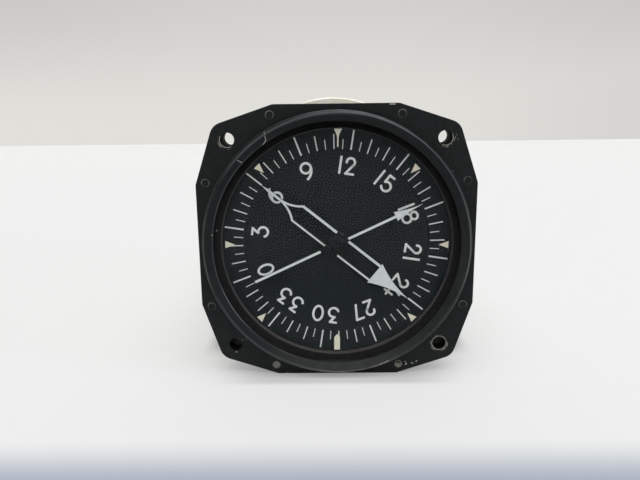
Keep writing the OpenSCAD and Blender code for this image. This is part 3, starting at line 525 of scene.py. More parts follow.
class SetStage(IndicatorOperator, bpy.types.Operator):
    """Camera, table, wall, lamps and ambient light"""

    bl_idname = "indicator.set_stage"
    bl_label = "Stage"

    SENSOR_WIDTH = 36
    NEAREST_SEEN = 0.01
    TABLE_HALF_WIDTH = 2.5
    WALL_HALF_SIZE = (2.5, 1.6)
    WALL_MIDDLE_HEIGHT = 1.0
    KEY_PLACE = (0.03, -0.36, 0.85)
    KEY_COLOUR = (1, 0.995, 0.985)
    WINDOW_PLACE = (0.84, -0.24, 0.28)
    WINDOW_SIZE = (0.2, 0.4)
    WINDOW_COLOUR = (0.80, 0.89, 1)
    SKY_COLOUR = (0.98, 0.99, 1, 1)

    def execute(self, context):
        scene = context.scene
        scene.view_settings.view_transform = "Standard"
        stage = scene.indicator_stage
        self.camera(scene, stage)
        self.table(stage)
        self.wall(stage)
        self.lamps(scene, stage)
        self.ambient(scene, stage)
        return {"FINISHED"}

    def camera(self, scene, stage):
        data = bpy.data.cameras.new("camera")
        data.sensor_width = self.SENSOR_WIDTH
        data.lens = stage.camera_lens
        data.clip_start = self.NEAREST_SEEN
        camera = bpy.data.objects.new("camera", data)
        camera.location = stage.camera_place
        camera.rotation_euler = stage.camera_turn
        scene.collection.objects.link(camera)
        scene.camera = camera

    def flat(self, name, place, turn, half_size, paint):
        """Large flat sheet that isn't part of the instrument, turned about X."""
        matrix = (
            Matrix.Translation(place) @ Matrix.Rotation(turn, 4, "X")
            @ Matrix.Diagonal((*half_size, 1, 1))
        )
        bm = bmesh.new()
        bmesh.ops.create_grid(bm, x_segments=1, y_segments=1, size=1, matrix=matrix)
        add_object(name, bm, paint.material)

    def table(self, stage):
        """The instrument rests on its flange and on its closing band, so the table tilts a little."""
        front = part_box("front_bezel")[0].z
        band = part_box("closing_band")
        slope = (band[0].z - front) / band[0].y
        half_depth = (self.TABLE_HALF_WIDTH + stage.wall_distance) / 2
        middle = stage.wall_distance - half_depth
        paint = Finish("table_white")
        # near is the painted bluish shade in front of the instrument, and shaded the painted shade
        # under its case and foot
        near, shaded = self.table_masks(paint)
        paint.surface(
            base_color=paint.mix(near, stage.floor_colour, stage.front_shade_colour),
            roughness=0.6, specular_ior_level=0.2,
        )
        parts = []
        # Both the lit and the glowing parts of the table are darkened by the painted shade under the
        # case and foot
        for kind, share in (("BsdfDiffuse", 1 - stage.floor_glow), ("Emission", stage.floor_glow)):
            far = scaled(stage.floor_colour, share)
            pale = paint.mix(near, far, scaled(stage.front_shade_colour, share))
            parts.append(paint.add(kind, 0, {"Color": paint.mix(shaded, pale, BLACK)}))
        self.seen_as(paint, paint.add("AddShader", 0, dict(enumerate(parts))))
        place = (0, middle, front + slope * middle)
        half_size = (self.TABLE_HALF_WIDTH, half_depth)
        self.flat("table", place, math.atan(slope), half_size, paint)

    def table_masks(self, paint):
        """Painted bluish shade in front of the instrument, and painted shade under its case and foot.
        """
        aside, y = abs(paint.x), paint.y
        # Painted bluish shade in front of the instrument
        near = y.fade(-0.0385, -0.0622) * y.fade(-0.15, -0.075) * aside.fade(0.3, 0.1)
        # Painted shade under the case and under the flange's foot
        case = aside.fade(0.047, 0.036) * (y.fade(0.012, 0.028) * y.fade(0.105, 0.09))
        foot = aside.fade(0.041, 0.018) * y.fade(-0.009, -0.006) * y.fade(0.030, 0.012)
        return near, most(case * 0.9, foot * 0.24)

    def wall(self, stage):
        """Shown by its own glow, so that its paleness adds no light to the object."""
        paint = Finish("wall_white")
        up = paint.z.fade(-0.02, 0.26)
        right = paint.x.fade(0.1, 0.7)
        left = paint.x.fade(-0.1, -0.7) * up
        shade = most(up * 0.65 + (right + left) * 0.25, right * 0.45)
        colour = paint.mix(shade, stage.wall_colour, stage.wall_shade)
        paint.surface(base_color=stage.wall_colour, roughness=0.9)
        self.seen_as(paint, paint.add("Emission", 0, {"Color": colour}))
        place = (0, stage.wall_distance, self.WALL_MIDDLE_HEIGHT)
        self.flat("wall", place, math.pi / 2, self.WALL_HALF_SIZE, paint)

    def seen_as(self, paint, shown):
        """Camera, glossy and transmission rays meet the given shader, all others the plain one."""
        rays = ("Is Camera Ray", "Is Glossy Ray", "Is Transmission Ray")
        paint.show(most(*(paint.add("LightPath", ray) for ray in rays)), shown)

    def lamp(self, scene, name, kind, place, power, colour):
        """Lamp that stands at a place and shines on the instrument."""
        data = bpy.data.lights.new(name, kind)
        data.energy = power
        data.color = colour
        lamp = bpy.data.objects.new(name, data)
        lamp.location = place
        lamp.rotation_euler = Vector(place).to_track_quat("Z", "Y").to_euler()
        scene.collection.objects.link(lamp)
        return data

    def lamps(self, scene, stage):
        key = self.lamp(
            scene, "key_light", "SUN", self.KEY_PLACE, stage.key_strength, self.KEY_COLOUR,
        )
        key.angle = stage.key_spread
        window = self.lamp(
            scene, "window_lamp", "AREA", self.WINDOW_PLACE, stage.window_power, self.WINDOW_COLOUR,
        )
        window.shape = "RECTANGLE"
        window.size, window.size_y = self.WINDOW_SIZE

    def ambient(self, scene, stage):
        world = bpy.data.worlds.new("room")
        world.use_nodes = True
        scene.world = world
        plain = world.node_tree.nodes["Background"]
        plain.inputs["Color"].default_value = self.SKY_COLOUR
        plain.inputs["Strength"].default_value = stage.sky_strength


class FinishFront(IndicatorOperator, bpy.types.Operator):
    """Satin black enamel with its wear and dust, painted highlights on the ring, painted light on the
    lower cone and painted shade in the holes, on the bevel, frame and rivets
    """

    bl_idname = "indicator.finish_front"
    bl_label = "Front enamel"

    # Grey of the dust specks and of the painted light on the lower cone
    DUST_AND_LIGHT = (0.12, 0.12, 0.11)
    # Grey of the painted highlight on the bevel and the crest's corners
    HIGHLIGHT_GREY = (0.122, 0.130, 0.140)
    DEEP_BLACK = (0.003, 0.003, 0.003)
    TURNING_PITCH = 0.5 * MM
    # Directions (x, z) in which the crest's corners get painted highlights, each with how much
    SHINES = [(-0.56, -0.83, 0.5), (0.7, -0.7, 0.25), (-0.4, 0.92, 0.6)]

    def execute(self, context):
        finish = context.scene.indicator_finish
        clothe(self.enamel("worn_enamel", finish, self.bezel_wear), "front_bezel")
        clothe(self.enamel("frame_enamel", finish, self.edge_wear), "backing_frame")
        clothe(self.enamel("rivet_enamel", finish, self.rivet_wear), "flange_rivets")
        clothe(self.rubber(), "glass_gasket")
        clothe(self.matt_black("mask_black", (0.034, 0.034, 0.035)), "index_mask")
        clothe(self.matt_black("retainer_black", (0.014, 0.015, 0.016)), "glass_retainer")
        return {"FINISHED"}

    def enamel(self, name, finish, wear_mask):
        """Worn to bare metal where the mask is 1, with painted highlights on the bevel and the crest's
        corners, dust specks, painted light on the lower cone, painted shade in the holes, and glossy on
        the lip.
        """
        paint = Finish(name)
        wear = wear_mask(paint)
        inside = self.hole_inside(paint)
        lip = paint.radius().band(LIP_RADIUS + 0.12 * MM, 0.14 * MM, 0.06 * MM)
        left_lip = lip * paint.x.fade(-8 * MM, -28 * MM)
        specks = paint.noise(2600, 1).fade(0.71, 0.76) * 0.35
        # Dust specks, and the painted light on the lower cone
        dust_and_light = most(specks, self.cone_painted_light(paint))
        dusty_and_lit = paint.mix(dust_and_light, paint.mottled(finish.enamel, 500, 0.16), self.DUST_AND_LIGHT)
        # Painted highlight on the bevel and the crest's corners
        rubbed = paint.mix(self.bevel_highlight(paint), dusty_and_lit, self.HIGHLIGHT_GREY)
        worn = paint.mix(wear, rubbed, finish.bare_metal)
        paint.surface(
            base_color=paint.mix(inside, worn, self.DEEP_BLACK), metallic=wear * 0.7,
            roughness=most(paint.noise(420, 4, 0.6).range(0.40, 0.54), inside),
            specular_ior_level=0.17, coat_weight=left_lip * 0.9, coat_roughness=0.17,
        )
        return paint.bump(paint.noise(3200, 2), 0.012 * MM, 0.5)

    def spread(self, mask):
        """Breaks a wear mask up with noise: the stronger the mask, the less is left out."""
        broken = mask.paint.noise(520, 3, 0.6) + (mask - 0.5)
        return broken.fade(0.42, 0.58) * mask.fade(0.02, 0.2)

    def rivet_place(self, paint):
        """Distance from the nearest rivet, height above its middle, and 1 above or below the ring."""
        wide, high = abs(paint.x), abs(paint.z)
        upright = high.over(wide)
        dx = wide - (FLANGE_HALF - RIVET_INSET - upright * RIVET_STEP)
        dz = (high - (RIVET_OFFSET + upright * RIVET_STEP)) * paint.z.sign()
        return hypot(dx, dz), dz, upright

    def rivet_rim(self, paint):
        """Thin worn crescent on the upper rim of each rivet."""
        distance, rise, _ = self.rivet_place(paint)
        rim = distance.band(RIVET_RADIUS, 0.04 * MM, 0.09 * MM)
        upper = rise.fade(-1.3 * MM, 0.9 * MM) + 0.25
        return rim * (upper * paint.noise(620, 2).range(0.02, 0.7))

    def hole_offset(self, paint):
        """Offsets along X and Z from the middle of the nearest mounting hole."""
        return abs(paint.x) - HOLE_OFFSET, abs(paint.z) - HOLE_OFFSET

    def hole_inside(self, paint):
        """The walls of the four mounting holes, which no light reaches."""
        distance = hypot(*self.hole_offset(paint))
        wall = distance.fade(HOLE_RADIUS + 0.06 * MM, HOLE_RADIUS + 0.02 * MM)
        dark = paint.z.fade(12 * MM, -12 * MM) * 0.1 + 0.9
        return wall * dark * paint.y.fade(0.05 * MM, 0.25 * MM)

    def cone_painted_light(self, paint):
        """Painted light on the lower half of the cone inside the ring, most at the lower right, where
        it is lighter.
        """
        cone = paint.y.fade(0, -1 * MM) * paint.radius().fade(RING_RADIUS, CREST_RADIUS)
        low = (paint.z - paint.x * 0.8).fade(-8 * MM, -42 * MM)
        return cone * (low * paint.noise(350, 3).range(0.03, 0.1))

    def bevel_highlight(self, paint):
        """Painted highlight: a grey sheen with turning lines on the bevel's top and right side, and the
        painted highlights on the crest's edges.
        """
        radius = paint.radius()
        outer = (RING_RADIUS + 0.35 * MM) - paint.x.fade(2 * MM, 30 * MM) * (0.75 * MM)
        inner_fade = radius.fade(CREST_RADIUS - 0.12 * MM, RING_RADIUS - 0.75 * BEVEL_WIDTH)
        bevel = inner_fade * radius.fade(outer, outer - 0.3 * MM)
        upper = (paint.z * 0.8 + paint.x * 1.1).fade(8 * MM, 46 * MM)
        uneven = paint.noise(300, 3).range(0.75, 1)
        turned = radius.waves(self.TURNING_PITCH).fade(-0.7, 0.5) * 0.5 + 0.5
        raised = paint.y.fade(0, -0.2 * MM)
        sheen = bevel * (upper * uneven) * (turned * raised)
        return most(sheen, self.edge_highlights(paint, radius, raised))

    def edge_highlights(self, paint, radius, raised):
        """Painted highlights: thin bright lines along both corners of the crest at the left, fainter at
        the lower right.
        """
        outer = radius.band(CREST_RADIUS, 0.06 * MM, 0.12 * MM)
        inner = radius.band(CREST_RADIUS - CREST_WIDTH, 0.05 * MM, 0.12 * MM)
        shares = []
        for across, up, amount in self.SHINES:
            reach = paint.towards(across, up)
            shares.append(reach.fade(30 * MM, 37 * MM) * amount)
        return most(outer, inner * 0.7) * (most(*shares) * raised)

    def edge_wear(self, paint):
        """Chips along the flange's straight outer edges."""
        edge = most(abs(paint.x), abs(paint.z)).fade(FLANGE_HALF - 0.35 * MM, FLANGE_HALF)
        rubbed = paint.noise(260, 4, 0.7).fade(0.6, 0.68)
        return edge * paint.y.fade(0.5 * MM, 0) * rubbed

    def hole_wear(self, paint):
        """Metal bared by the screw heads round the four mounting holes, most at the lower right."""
        dx, dz = self.hole_offset(paint)
        distance = hypot(dx, dz)
        near = distance.band(2.22 * MM, 0.05 * MM, 0.09 * MM)
        wide = distance.band(2.7 * MM, 0.05 * MM, 0.14 * MM)
        top = paint.z.over(0)
        low_side = (dz * paint.z.sign() - dx).fade(1.2 * MM, -1.8 * MM)
        lower_right = paint.x.over(0) * (1 - top)
        share = most(top * low_side * 0.66, lower_right * 0.62)
        return self.spread(most(near, wide * 0.7) * share) * paint.y.fade(0.3 * MM, 0.1 * MM)

    def crest_wear(self, paint):
        """Thin broken line worn along the crest's outer corner at the bottom."""
        corner = paint.radius().band(CREST_RADIUS, 0.09 * MM, 0.09 * MM)
        depth = paint.y.band(CREST_FRONT, 0.16 * MM, 0.1 * MM)
        bottom = (paint.z - paint.x * 0.1).fade(-35.5 * MM, -38 * MM)
        return corner * depth * (paint.noise(300, 4, 0.65).range(0.1, 0.75) * bottom)

    def ring_wear(self, paint):
        """Faint broken line worn along the ring's outer corner, a little fainter at the bottom."""
        corner = paint.radius().band(RING_RADIUS, 0.04 * MM, 0.08 * MM)
        depth = paint.y.band(CREST_FRONT + BEVEL_DEPTH, 0.12 * MM, 0.1 * MM)
        amount = 0.16 - paint.z.fade(-34 * MM, -37.5 * MM) * 0.08
        return corner * depth * (paint.noise(380, 4, 0.65).fade(0.42, 0.6) * amount)

    def bezel_wear(self, paint):
        wears = (self.hole_wear, self.rivet_rim, self.edge_wear, self.ring_wear, self.crest_wear)
        return most(*(wear(paint) for wear in wears))

    def rivet_wear(self, paint):
        """The lower left rivet is bare, and the lower right one bare below."""
        _, rise, upright = self.rivet_place(paint)
        low = upright * paint.z.below(0)
        left = low * paint.x.below(0)
        half_of_right = low * paint.x.over(0) * rise.fade(0.9 * MM, -0.2 * MM)
        bare = (left + half_of_right) * paint.noise(1500, 3).range(0.25, 0.6)
        return most(bare, self.rivet_rim(paint))

    def rubber(self):
        paint = Finish("gasket_rubber")
        paint.surface(
            base_color=paint.mottled((0.018, 0.018, 0.019), 900, 0.2),
            roughness=paint.noise(1200).range(0.75, 0.9), specular_ior_level=0.3,
        )
        return paint.bump(paint.noise(2500), 0.01 * MM)

    def matt_black(self, name, colour):
        """Black that is a little bare along the mask's inner edge."""
        paint = Finish(name)
        bare_edge = paint.radius().band(34.42 * MM, 0.05 * MM, 0.1 * MM) * 0.5
        paint.surface(
            base_color=paint.mix(bare_edge, paint.mottled(colour, 700, 0.2), (0.05, 0.042, 0.036)),
            roughness=paint.noise(900).range(0.6, 0.75), specular_ior_level=0.12,
        )
        return paint.bump(paint.noise(2800), 0.004 * MM, 0.4)


class FinishGlass(IndicatorOperator, bpy.types.Operator):
    """Clear coated cover glass that lets light through to the dial"""

    bl_idname = "indicator.finish_glass"
    bl_label = "Cover glass"

    COATED_IOR = 1.13

    def execute(self, context):
        glass = Finish("coated_glass")
        glass.surface(
            base_color=(0.985, 0.99, 0.99),
            roughness=glass.noise(60, 4, 0.65).fade(0.35, 0.75) * 0.012,
            ior=self.COATED_IOR, transmission_weight=1.0, specular_ior_level=0.1,
        )
        glass.show(glass.add("LightPath", "Is Shadow Ray"), glass.add("BsdfTransparent", 0))
        clothe(glass, "cover_glass")
        return {"FINISHED"}


def metal(name, colour, roughness, grain, shade=0.08, metallic=1.0):
    """Metal with a fine grain. grain is the noise's scale along each axis."""
    paint = Finish(name)
    lines = paint.noise(1, 3, 0.6, paint.stretched(grain))
    stain = paint.noise(140, 4, 0.6)
    light = paint.mix(lines.range(0, 1), scaled(colour, 1 - shade), scaled(colour, 1 + shade))
    paint.surface(
        base_color=paint.mix(stain.fade(0.5, 0.8), light, scaled(colour, 0.72)),
        roughness=stain.range(roughness - 0.04, roughness + 0.04) + lines.range(-0.04, 0.04),
        metallic=metallic,
    )
    return paint.bump(lines, 0.004 * MM, 0.5)


def turned_metal(name, colour, roughness, centre=(0, 0)):
    """Metal faced on a lathe, with fine rings round a line along Y through centre."""
    pitch = 0.09 * MM
    paint = Finish(name)
    uneven = paint.noise(900, 2)
    rings = paint.radius(centre).waves(pitch) * uneven.range(0.2, 1)
    stain = paint.noise(160, 4, 0.6).fade(0.5, 0.8)
    paint.surface(
        base_color=paint.mix(stain, paint.mottled(colour, 400, 0.05), scaled(colour, 0.7)),
        roughness=rings * 0.04 + uneven.range(roughness - 0.03, roughness + 0.05),
        metallic=1.0,
    )
    return paint.bump(rings, 0.003 * MM, 0.6)


class FinishCase(IndicatorOperator, bpy.types.Operator):
    """Dull plating on the case, closing band and rear cover"""

    bl_idname = "indicator.finish_case"
    bl_label = "Case plating"

    YELLOWING = (0.95, 0.925, 0.83)
    SCUFF = (0.72, 0.72, 0.7)

    def execute(self, context):
        colour = context.scene.indicator_finish.plating
        clothe(self.plating("can_plating", colour, (500, 14, 500)), "case_can")
        clothe(self.plating("band_plating", colour, (120, 900, 120)), "closing_band")
        clothe(self.plating("cover_plating", colour, (160, 160, 160)), "rear_cover")
        steel = metal("screw_steel", (0.52, 0.53, 0.52), 0.32, (2200, 300, 300), 0.15)
        clothe(steel, "cover_screws", "post_screws", "board_screws", "connector_screws")
        clothe(steel, "clamp_screws", "gear_screws")
        return {"FINISHED"}

    def plating(self, name, colour, streaks):
        paint = Finish(name)
        lines = paint.noise(1, 4, 0.65, paint.stretched(streaks))
        cloud = paint.noise(55, 4, 0.6)
        scuff = paint.noise(1, 2, 0.5, paint.stretched((90, 1400, 300))).fade(0.66, 0.72)
        yellow = [c * share for c, share in zip(colour, self.YELLOWING)]
        tone = paint.mix(cloud.fade(0.4, 0.75), colour, yellow)
        lined = paint.mix(lines.range(0, 0.22), tone, scaled(colour, 0.6))
        paint.surface(
            base_color=paint.mix(scuff * 0.35, lined, self.SCUFF),
            metallic=scuff * 0.2 + 0.65, roughness=cloud.range(0.42, 0.54),
        )
        return paint.bump(lines, 0.006 * MM, 0.4)


class FinishChassis(IndicatorOperator, bpy.types.Operator):
    """Machined plates, posts, sleeve, shafts, bushes and bearing"""

    bl_idname = "indicator.finish_chassis"
    bl_label = "Chassis"

    def execute(self, context):
        plate = metal("rolled_alloy", (0.62, 0.64, 0.65), 0.34, (60, 400, 2600), 0.1)
        clothe(plate, "front_plate", "middle_plate", "rear_plate")
        post = metal("turned_posts", (0.5, 0.52, 0.53), 0.28, (260, 5200, 260), 0.12)
        clothe(post, "front_posts", "middle_posts", "rear_posts", "board_standoffs", "machine_clamps")
        nuts = metal("blackened_nuts", (0.006, 0.006, 0.006), 0.8, (700, 2600, 700), 0.3, 0)
        clothe(nuts, "mounting_nuts")
        shaft = metal("ground_shafts", (0.62, 0.64, 0.65), 0.2, (300, 6000, 300), 0.08)
        clothe(shaft, "fixed_sleeve", "single_shaft", "double_tube")
        bronze = metal("bush_bronze", (0.5, 0.33, 0.14), 0.34, (500, 3600, 500), 0.12)
        clothe(bronze, "sleeve_bushes", "tube_bushes", "machine_bushes")
        brass = context.scene.indicator_finish.brass
        clothe(turned_metal("nut_brass", brass, 0.3), "sleeve_nut")
        race = metal("bearing_steel", (0.72, 0.74, 0.75), 0.12, (200, 7000, 200), 0.04)
        clothe(race, "bearing_inner_race", "bearing_outer_race", "bearing_balls")
        return {"FINISHED"}


class FinishGears(IndicatorOperator, bpy.types.Operator):
    """Brass gears and the card's alloy hub"""

    bl_idname = "indicator.finish_gears"
    bl_label = "Gear train"

    def execute(self, context):
        brass = context.scene.indicator_finish.brass
        clothe(turned_metal("card_gear_brass", brass, 0.3), "card_gear", "heading_gear")
        clothe(turned_metal("pinion_brass", brass, 0.26, MOTOR_AXIS), "motor_pinion")
        clothe(turned_metal("synchro_gear_brass", brass, 0.3, SYNCHRO_AXIS), "synchro_gear")
        clothe(turned_metal("hub_alloy", (0.58, 0.6, 0.62), 0.3), "card_hub", "gear_spacer")
        return {"FINISHED"}


class FinishMachines(IndicatorOperator, bpy.types.Operator):
    """Housings and slotted rotors of the motor and synchros"""

    bl_idname = "indicator.finish_machines"
    bl_label = "Motor and synchros"

    SHEET_PITCH = 0.35 * MM

    def execute(self, context):
        grey = metal("synchro_housing", (0.27, 0.29, 0.3), 0.36, (200, 4200, 200), 0.14, 0.85)
        clothe(grey, "single_stator", "double_stator", "heading_stator")
        dark = metal("motor_housing", (0.16, 0.17, 0.18), 0.42, (200, 4200, 200), 0.16, 0.75)
        clothe(dark, "servo_motor")
        clothe(self.rotor("axis_rotor", (0, 0)), "single_rotor", "double_rotor")
        clothe(self.rotor("motor_rotor", MOTOR_AXIS), "motor_rotor")
        clothe(self.rotor("heading_rotor", SYNCHRO_AXIS), "heading_rotor")
        return {"FINISHED"}

    def rotor(self, name, centre):
        """Steel laminations outside, copper windings in the slots, bright shaft in the middle."""
        paint = Finish(name)
        radius = paint.radius(centre)
        sheets = paint.y.waves(self.SHEET_PITCH)
        wound = radius.fade(4.7 * MM, 4.5 * MM)
        shaft = radius.fade(1.05 * MM, 0.95 * MM)
        strands = paint.noise(1800, 3).fade(0.4, 0.6)
        copper = paint.mix(strands, (0.42, 0.17, 0.07), (0.58, 0.27, 0.11))
        steel = paint.mix(sheets.fade(-1, 1), (0.16, 0.15, 0.14), (0.34, 0.33, 0.31))
        paint.surface(
            base_color=paint.mix(shaft, paint.mix(wound, steel, copper), (0.6, 0.62, 0.63)),
            metallic=0.85, roughness=paint.noise(1200).range(0.32, 0.44),
        )
        return paint.bump(sheets, 0.01 * MM, 0.6)


class FinishBoard(IndicatorOperator, bpy.types.Operator):
    """Varnished circuit board with printed tracks, and its components"""

    bl_idname = "indicator.finish_board"
    bl_label = "Amplifier board"

    # Where each sector of components starts, as a share of the turn, and its colour
    SECTORS = [
        (0.0, (0.04, 0.1, 0.24)), (0.18, (0.55, 0.36, 0.17)), (0.345, (0.62, 0.63, 0.64)),
        (0.45, (0.2, 0.13, 0.07)), (0.555, (0.62, 0.63, 0.64)), (0.66, (0.04, 0.1, 0.24)),
    ]

    def execute(self, context):
        clothe(self.laminate(), "amplifier_board")
        clothe(self.components(), "board_parts")
        return {"FINISHED"}

    def laminate(self):
        paint = Finish("printed_board")
        bend = paint.noise(90, 2)
        lines = (paint.z * 900 + bend * 5).sine().fade(0.3, 0.5)
        breaks = (paint.x * 520).sine().fade(-0.7, -0.55)
        tracks = lines * breaks
        weave = paint.noise(1, 2, 0.5, paint.stretched((3000, 300, 700)))
        base = paint.mix(weave.range(0, 1), (0.085, 0.115, 0.035), (0.12, 0.155, 0.05))
        paint.surface(
            base_color=paint.mix(tracks, base, (0.24, 0.2, 0.07)), metallic=tracks * 0.4,
            roughness=bend.range(0.28, 0.4), coat_weight=0.5,
        )
        return paint.bump(tracks, 0.03 * MM)

    def components(self):
        """The colour follows the clock position, since each kind has its own sector."""
        paint = Finish("board_components")
        share = paint.calc("ARCTAN2", paint.x, paint.z) / (2 * math.pi) + 0.5
        sectors = paint.add("ValToRGB", "Color", {"Fac": share})
        ramp = sectors.socket.node.color_ramp
        ramp.interpolation = "CONSTANT"
        while len(ramp.elements) < len(self.SECTORS):
            ramp.elements.new(1)
        for stop, (start, colour) in zip(ramp.elements, self.SECTORS):
            stop.position = start
            stop.color = (*colour, 1)
        wear = paint.noise(800, 3)
        bands = (paint.radius() * 2400).sine().fade(0.75, 0.9)
        resistors = share.over(self.SECTORS[1][0]) * share.below(self.SECTORS[2][0])
        striped = paint.mix(bands * resistors, sectors, (0.22, 0.05, 0.03))
        cans = most(share.band(0.4, 0.045, 0.005), share.band(0.6, 0.045, 0.005))
        paint.surface(
            base_color=paint.mix(wear.range(0, 0.2), striped, (0.05, 0.05, 0.05)),
            metallic=cans * 0.9, roughness=wear.range(0.3, 0.45),
        )
        return paint.bump(wear, 0.01 * MM, 0.5)


class FinishConnector(IndicatorOperator, bpy.types.Operator):
    """Olive plated shell, moulded insert and gilt pins of the rear connector"""

    bl_idname = "indicator.finish_connector"
    bl_label = "Rear connector"

    def execute(self, context):
        clothe(olive_plating("olive_plating"), "connector_shell")
        clothe(self.moulding(), "connector_insert")
        gilt = metal("contact_gilt", (0.75, 0.54, 0.22), 0.22, (300, 4000, 300), 0.08)
        clothe(gilt, "connector_pins")
        return {"FINISHED"}

    def moulding(self):
        paint = Finish("insert_moulding")
        paint.surface(
            base_color=paint.mottled((0.024, 0.042, 0.034), 700, 0.25),
            roughness=paint.noise(1500).range(0.42, 0.55),
        )
        return paint.bump(paint.noise(3000), 0.008 * MM, 0.6)


def olive_plating(name):
    """Olive plating that is rubbed off at the corners of the connector's square flange."""
    paint = Finish(name)
    cloud = paint.noise(260, 4, 0.6)
    nearer = paint.calc("MINIMUM", abs(paint.x), abs(paint.z))
    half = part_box("connector_shell")[1].x
    corner = nearer.fade(half - 3.2 * MM, half - 1.4 * MM)
    rubbed = corner * paint.noise(700, 4, 0.7).fade(0.5, 0.68)
    olive = paint.mix(cloud.fade(0.35, 0.7), (0.115, 0.12, 0.07), (0.165, 0.155, 0.085))
    paint.surface(
        base_color=paint.mix(rubbed, olive, (0.5, 0.49, 0.44)), metallic=rubbed * 0.4 + 0.55,
        roughness=cloud.range(0.36, 0.5),
    )
    return paint.bump(paint.noise(2200), 0.008 * MM, 0.5)


class FinishCard(IndicatorOperator, bpy.types.Operator):
    """Matt blue-black paint of the compass card"""

    bl_idname = "indicator.finish_card"
    bl_label = "Compass card"

    # The look of the step round the card's sunk middle is rounded off between these radii.
    # Heights are shares of the bump's distance.
    STEP = (27.2 * MM, 28.2 * MM)
    STEP_HEIGHT = 0.2
    GRAIN_HEIGHT = 0.0013
    BUMP_DISTANCE = 1 * MM

    def execute(self, context):
        paint = Finish("dial_black")
        paint.surface(
            base_color=paint.mottled(context.scene.indicator_finish.dial, 260, 0.07),
            roughness=paint.noise(500).range(0.72, 0.82), specular_ior_level=0.1,
        )
        step = paint.radius().fade(*self.STEP) * self.STEP_HEIGHT
        paint.bump(paint.noise(2600, 2) * self.GRAIN_HEIGHT + step, self.BUMP_DISTANCE)
        clothe(paint, "compass_card")
        return {"FINISHED"}


class FinishPointers(IndicatorOperator, bpy.types.Operator):
    """White pointers with black middles and a painted glint on each hub's rim, and their cap and weight
    """

    bl_idname = "indicator.finish_pointers"
    bl_label = "Pointer paint"

    # Distances along a pointer are measured from the axis, positive towards its arrowhead
    SOFT_EDGE = 0.06 * MM
    MIDDLE_BLACK = (0.0055, 0.0065, 0.0075)
    HUB_HALF_WIDTH = 2.25 * MM
    RIM_RADIUS = 2.4 * MM
    # Colour of the painted glint on the hub's rim
    RIM_GLINT = (0.026, 0.029, 0.033)
    SINGLE_HEAD = 19.45 * MM
    DOUBLE_HEAD = 14.9 * MM
    BAR_SPACING = 2.72 * MM
    BEND_RADIUS = 10.59 * MM
    BEND_MIDDLE = -21.95 * MM
    BEND_START = -14.86 * MM
    STEM_ENDS = (-28.8 * MM, -25.5 * MM)
    STEM_HALF_WIDTH = 0.34 * MM

    def execute(self, context):
        white = context.scene.indicator_finish.pointer
        single = self.painted(
            "single_white", white, SINGLE_BEARING, (-5.35 * MM, 3.9 * MM), 0, self.single_stroke,
        )
        clothe(single, "single_pointer")
        double = self.painted(
            "double_white", white, DOUBLE_BEARING, (-2.0 * MM, 2.5 * MM), 4.05 * MM,
            self.double_stroke,
        )
        clothe(double, "double_pointer")
        black = Finish("cap_black")
        black.surface(
            base_color=black.mottled((0.0036, 0.0045, 0.0054), 900, 0.2),
            roughness=black.noise(1500).range(0.34, 0.46), specular_ior_level=0.16,
        )
        black.bump(black.noise(3000), 0.006 * MM, 0.6)
        clothe(black, "pointer_cap", "balance_weight")
        return {"FINISHED"}

    def single_stroke(self, along, across):
        """White on the bar stops short of its edges, and covers the whole arrowhead."""
        return most(abs(across).fade(0.40 * MM, 0.34 * MM), along.over(self.SINGLE_HEAD))

    def double_stroke(self, along, across):
        """Narrow stripes on the bars, the bends and the tail, and the whole arrowhead."""
        side = abs(across)
        half_width = across.sign() * (-0.055 * MM) + 0.30 * MM
        bars = side.band(self.BAR_SPACING, half_width, self.SOFT_EDGE)
        turned = hypot(side - self.BEND_RADIUS, along - self.BEND_MIDDLE)
        bends = turned.band(self.BEND_RADIUS, 0.27 * MM, self.SOFT_EDGE)
        stem_half = along.fade(*self.STEM_ENDS) * self.STEM_HALF_WIDTH
        stem = side.fade(stem_half + self.SOFT_EDGE, stem_half)
        tail = self.joined(along, self.BEND_MIDDLE, stem, bends)
        stripes = self.joined(along, self.BEND_START, tail, bars)
        return most(stripes, along.over(self.DOUBLE_HEAD))

    def joined(self, along, limit, below, above):
        """One mask below a limit along the pointer and another above it."""
        high = along.over(limit)
        return (1 - high) * below + high * above

    def painted(self, name, colour, bearing, limits, black_radius, stroke):
        """White beyond two limits along the pointer, except between its bars near the centre, with a
        painted glint on the upper part of the hub's rim.
        """
        paint = Finish(name)
        soft = self.SOFT_EDGE
        turn = math.radians(bearing)
        beside = turn + math.pi / 2
        along = paint.towards(math.sin(turn), math.cos(turn))
        across = paint.towards(math.sin(beside), math.cos(beside))
        radius = paint.radius()
        tail_end, head_start = limits
        head = along.fade(head_start - soft, head_start + soft)
        tail = along.fade(tail_end + soft, tail_end - soft)
        hub = abs(across).fade(self.HUB_HALF_WIDTH + soft, self.HUB_HALF_WIDTH - soft)
        on_hub = radius.fade(black_radius + soft, black_radius - soft) * hub
        shown = most(head, tail) * (1 - on_hub) * stroke(along, across)
        # Painted highlight: a faint glint on the upper part of the black hub's rim
        rim = radius.band(self.RIM_RADIUS, 0.08 * MM, 0.12 * MM) * paint.z.fade(-0.3 * MM, 1.3 * MM)
        black = paint.mix(rim, self.MIDDLE_BLACK, self.RIM_GLINT)
        paint.surface(
            base_color=paint.mix(shown, black, paint.mottled(colour, 600, 0.035)),
            roughness=paint.noise(1200).range(0.52, 0.64), specular_ior_level=0.15,
        )
        return paint.bump(paint.noise(2600), 0.006 * MM, 0.5)


def marking_paint(name, colour):
    """Screen-printed paint, a little uneven in shade."""
    paint = Finish(name)
    paint.surface(
        base_color=paint.mottled(colour, 900, 0.05),
        roughness=paint.noise(1600).range(0.6, 0.74), specular_ior_level=0.25,
    )
    return paint.bump(paint.noise(3400), 0.005 * MM, 0.6)


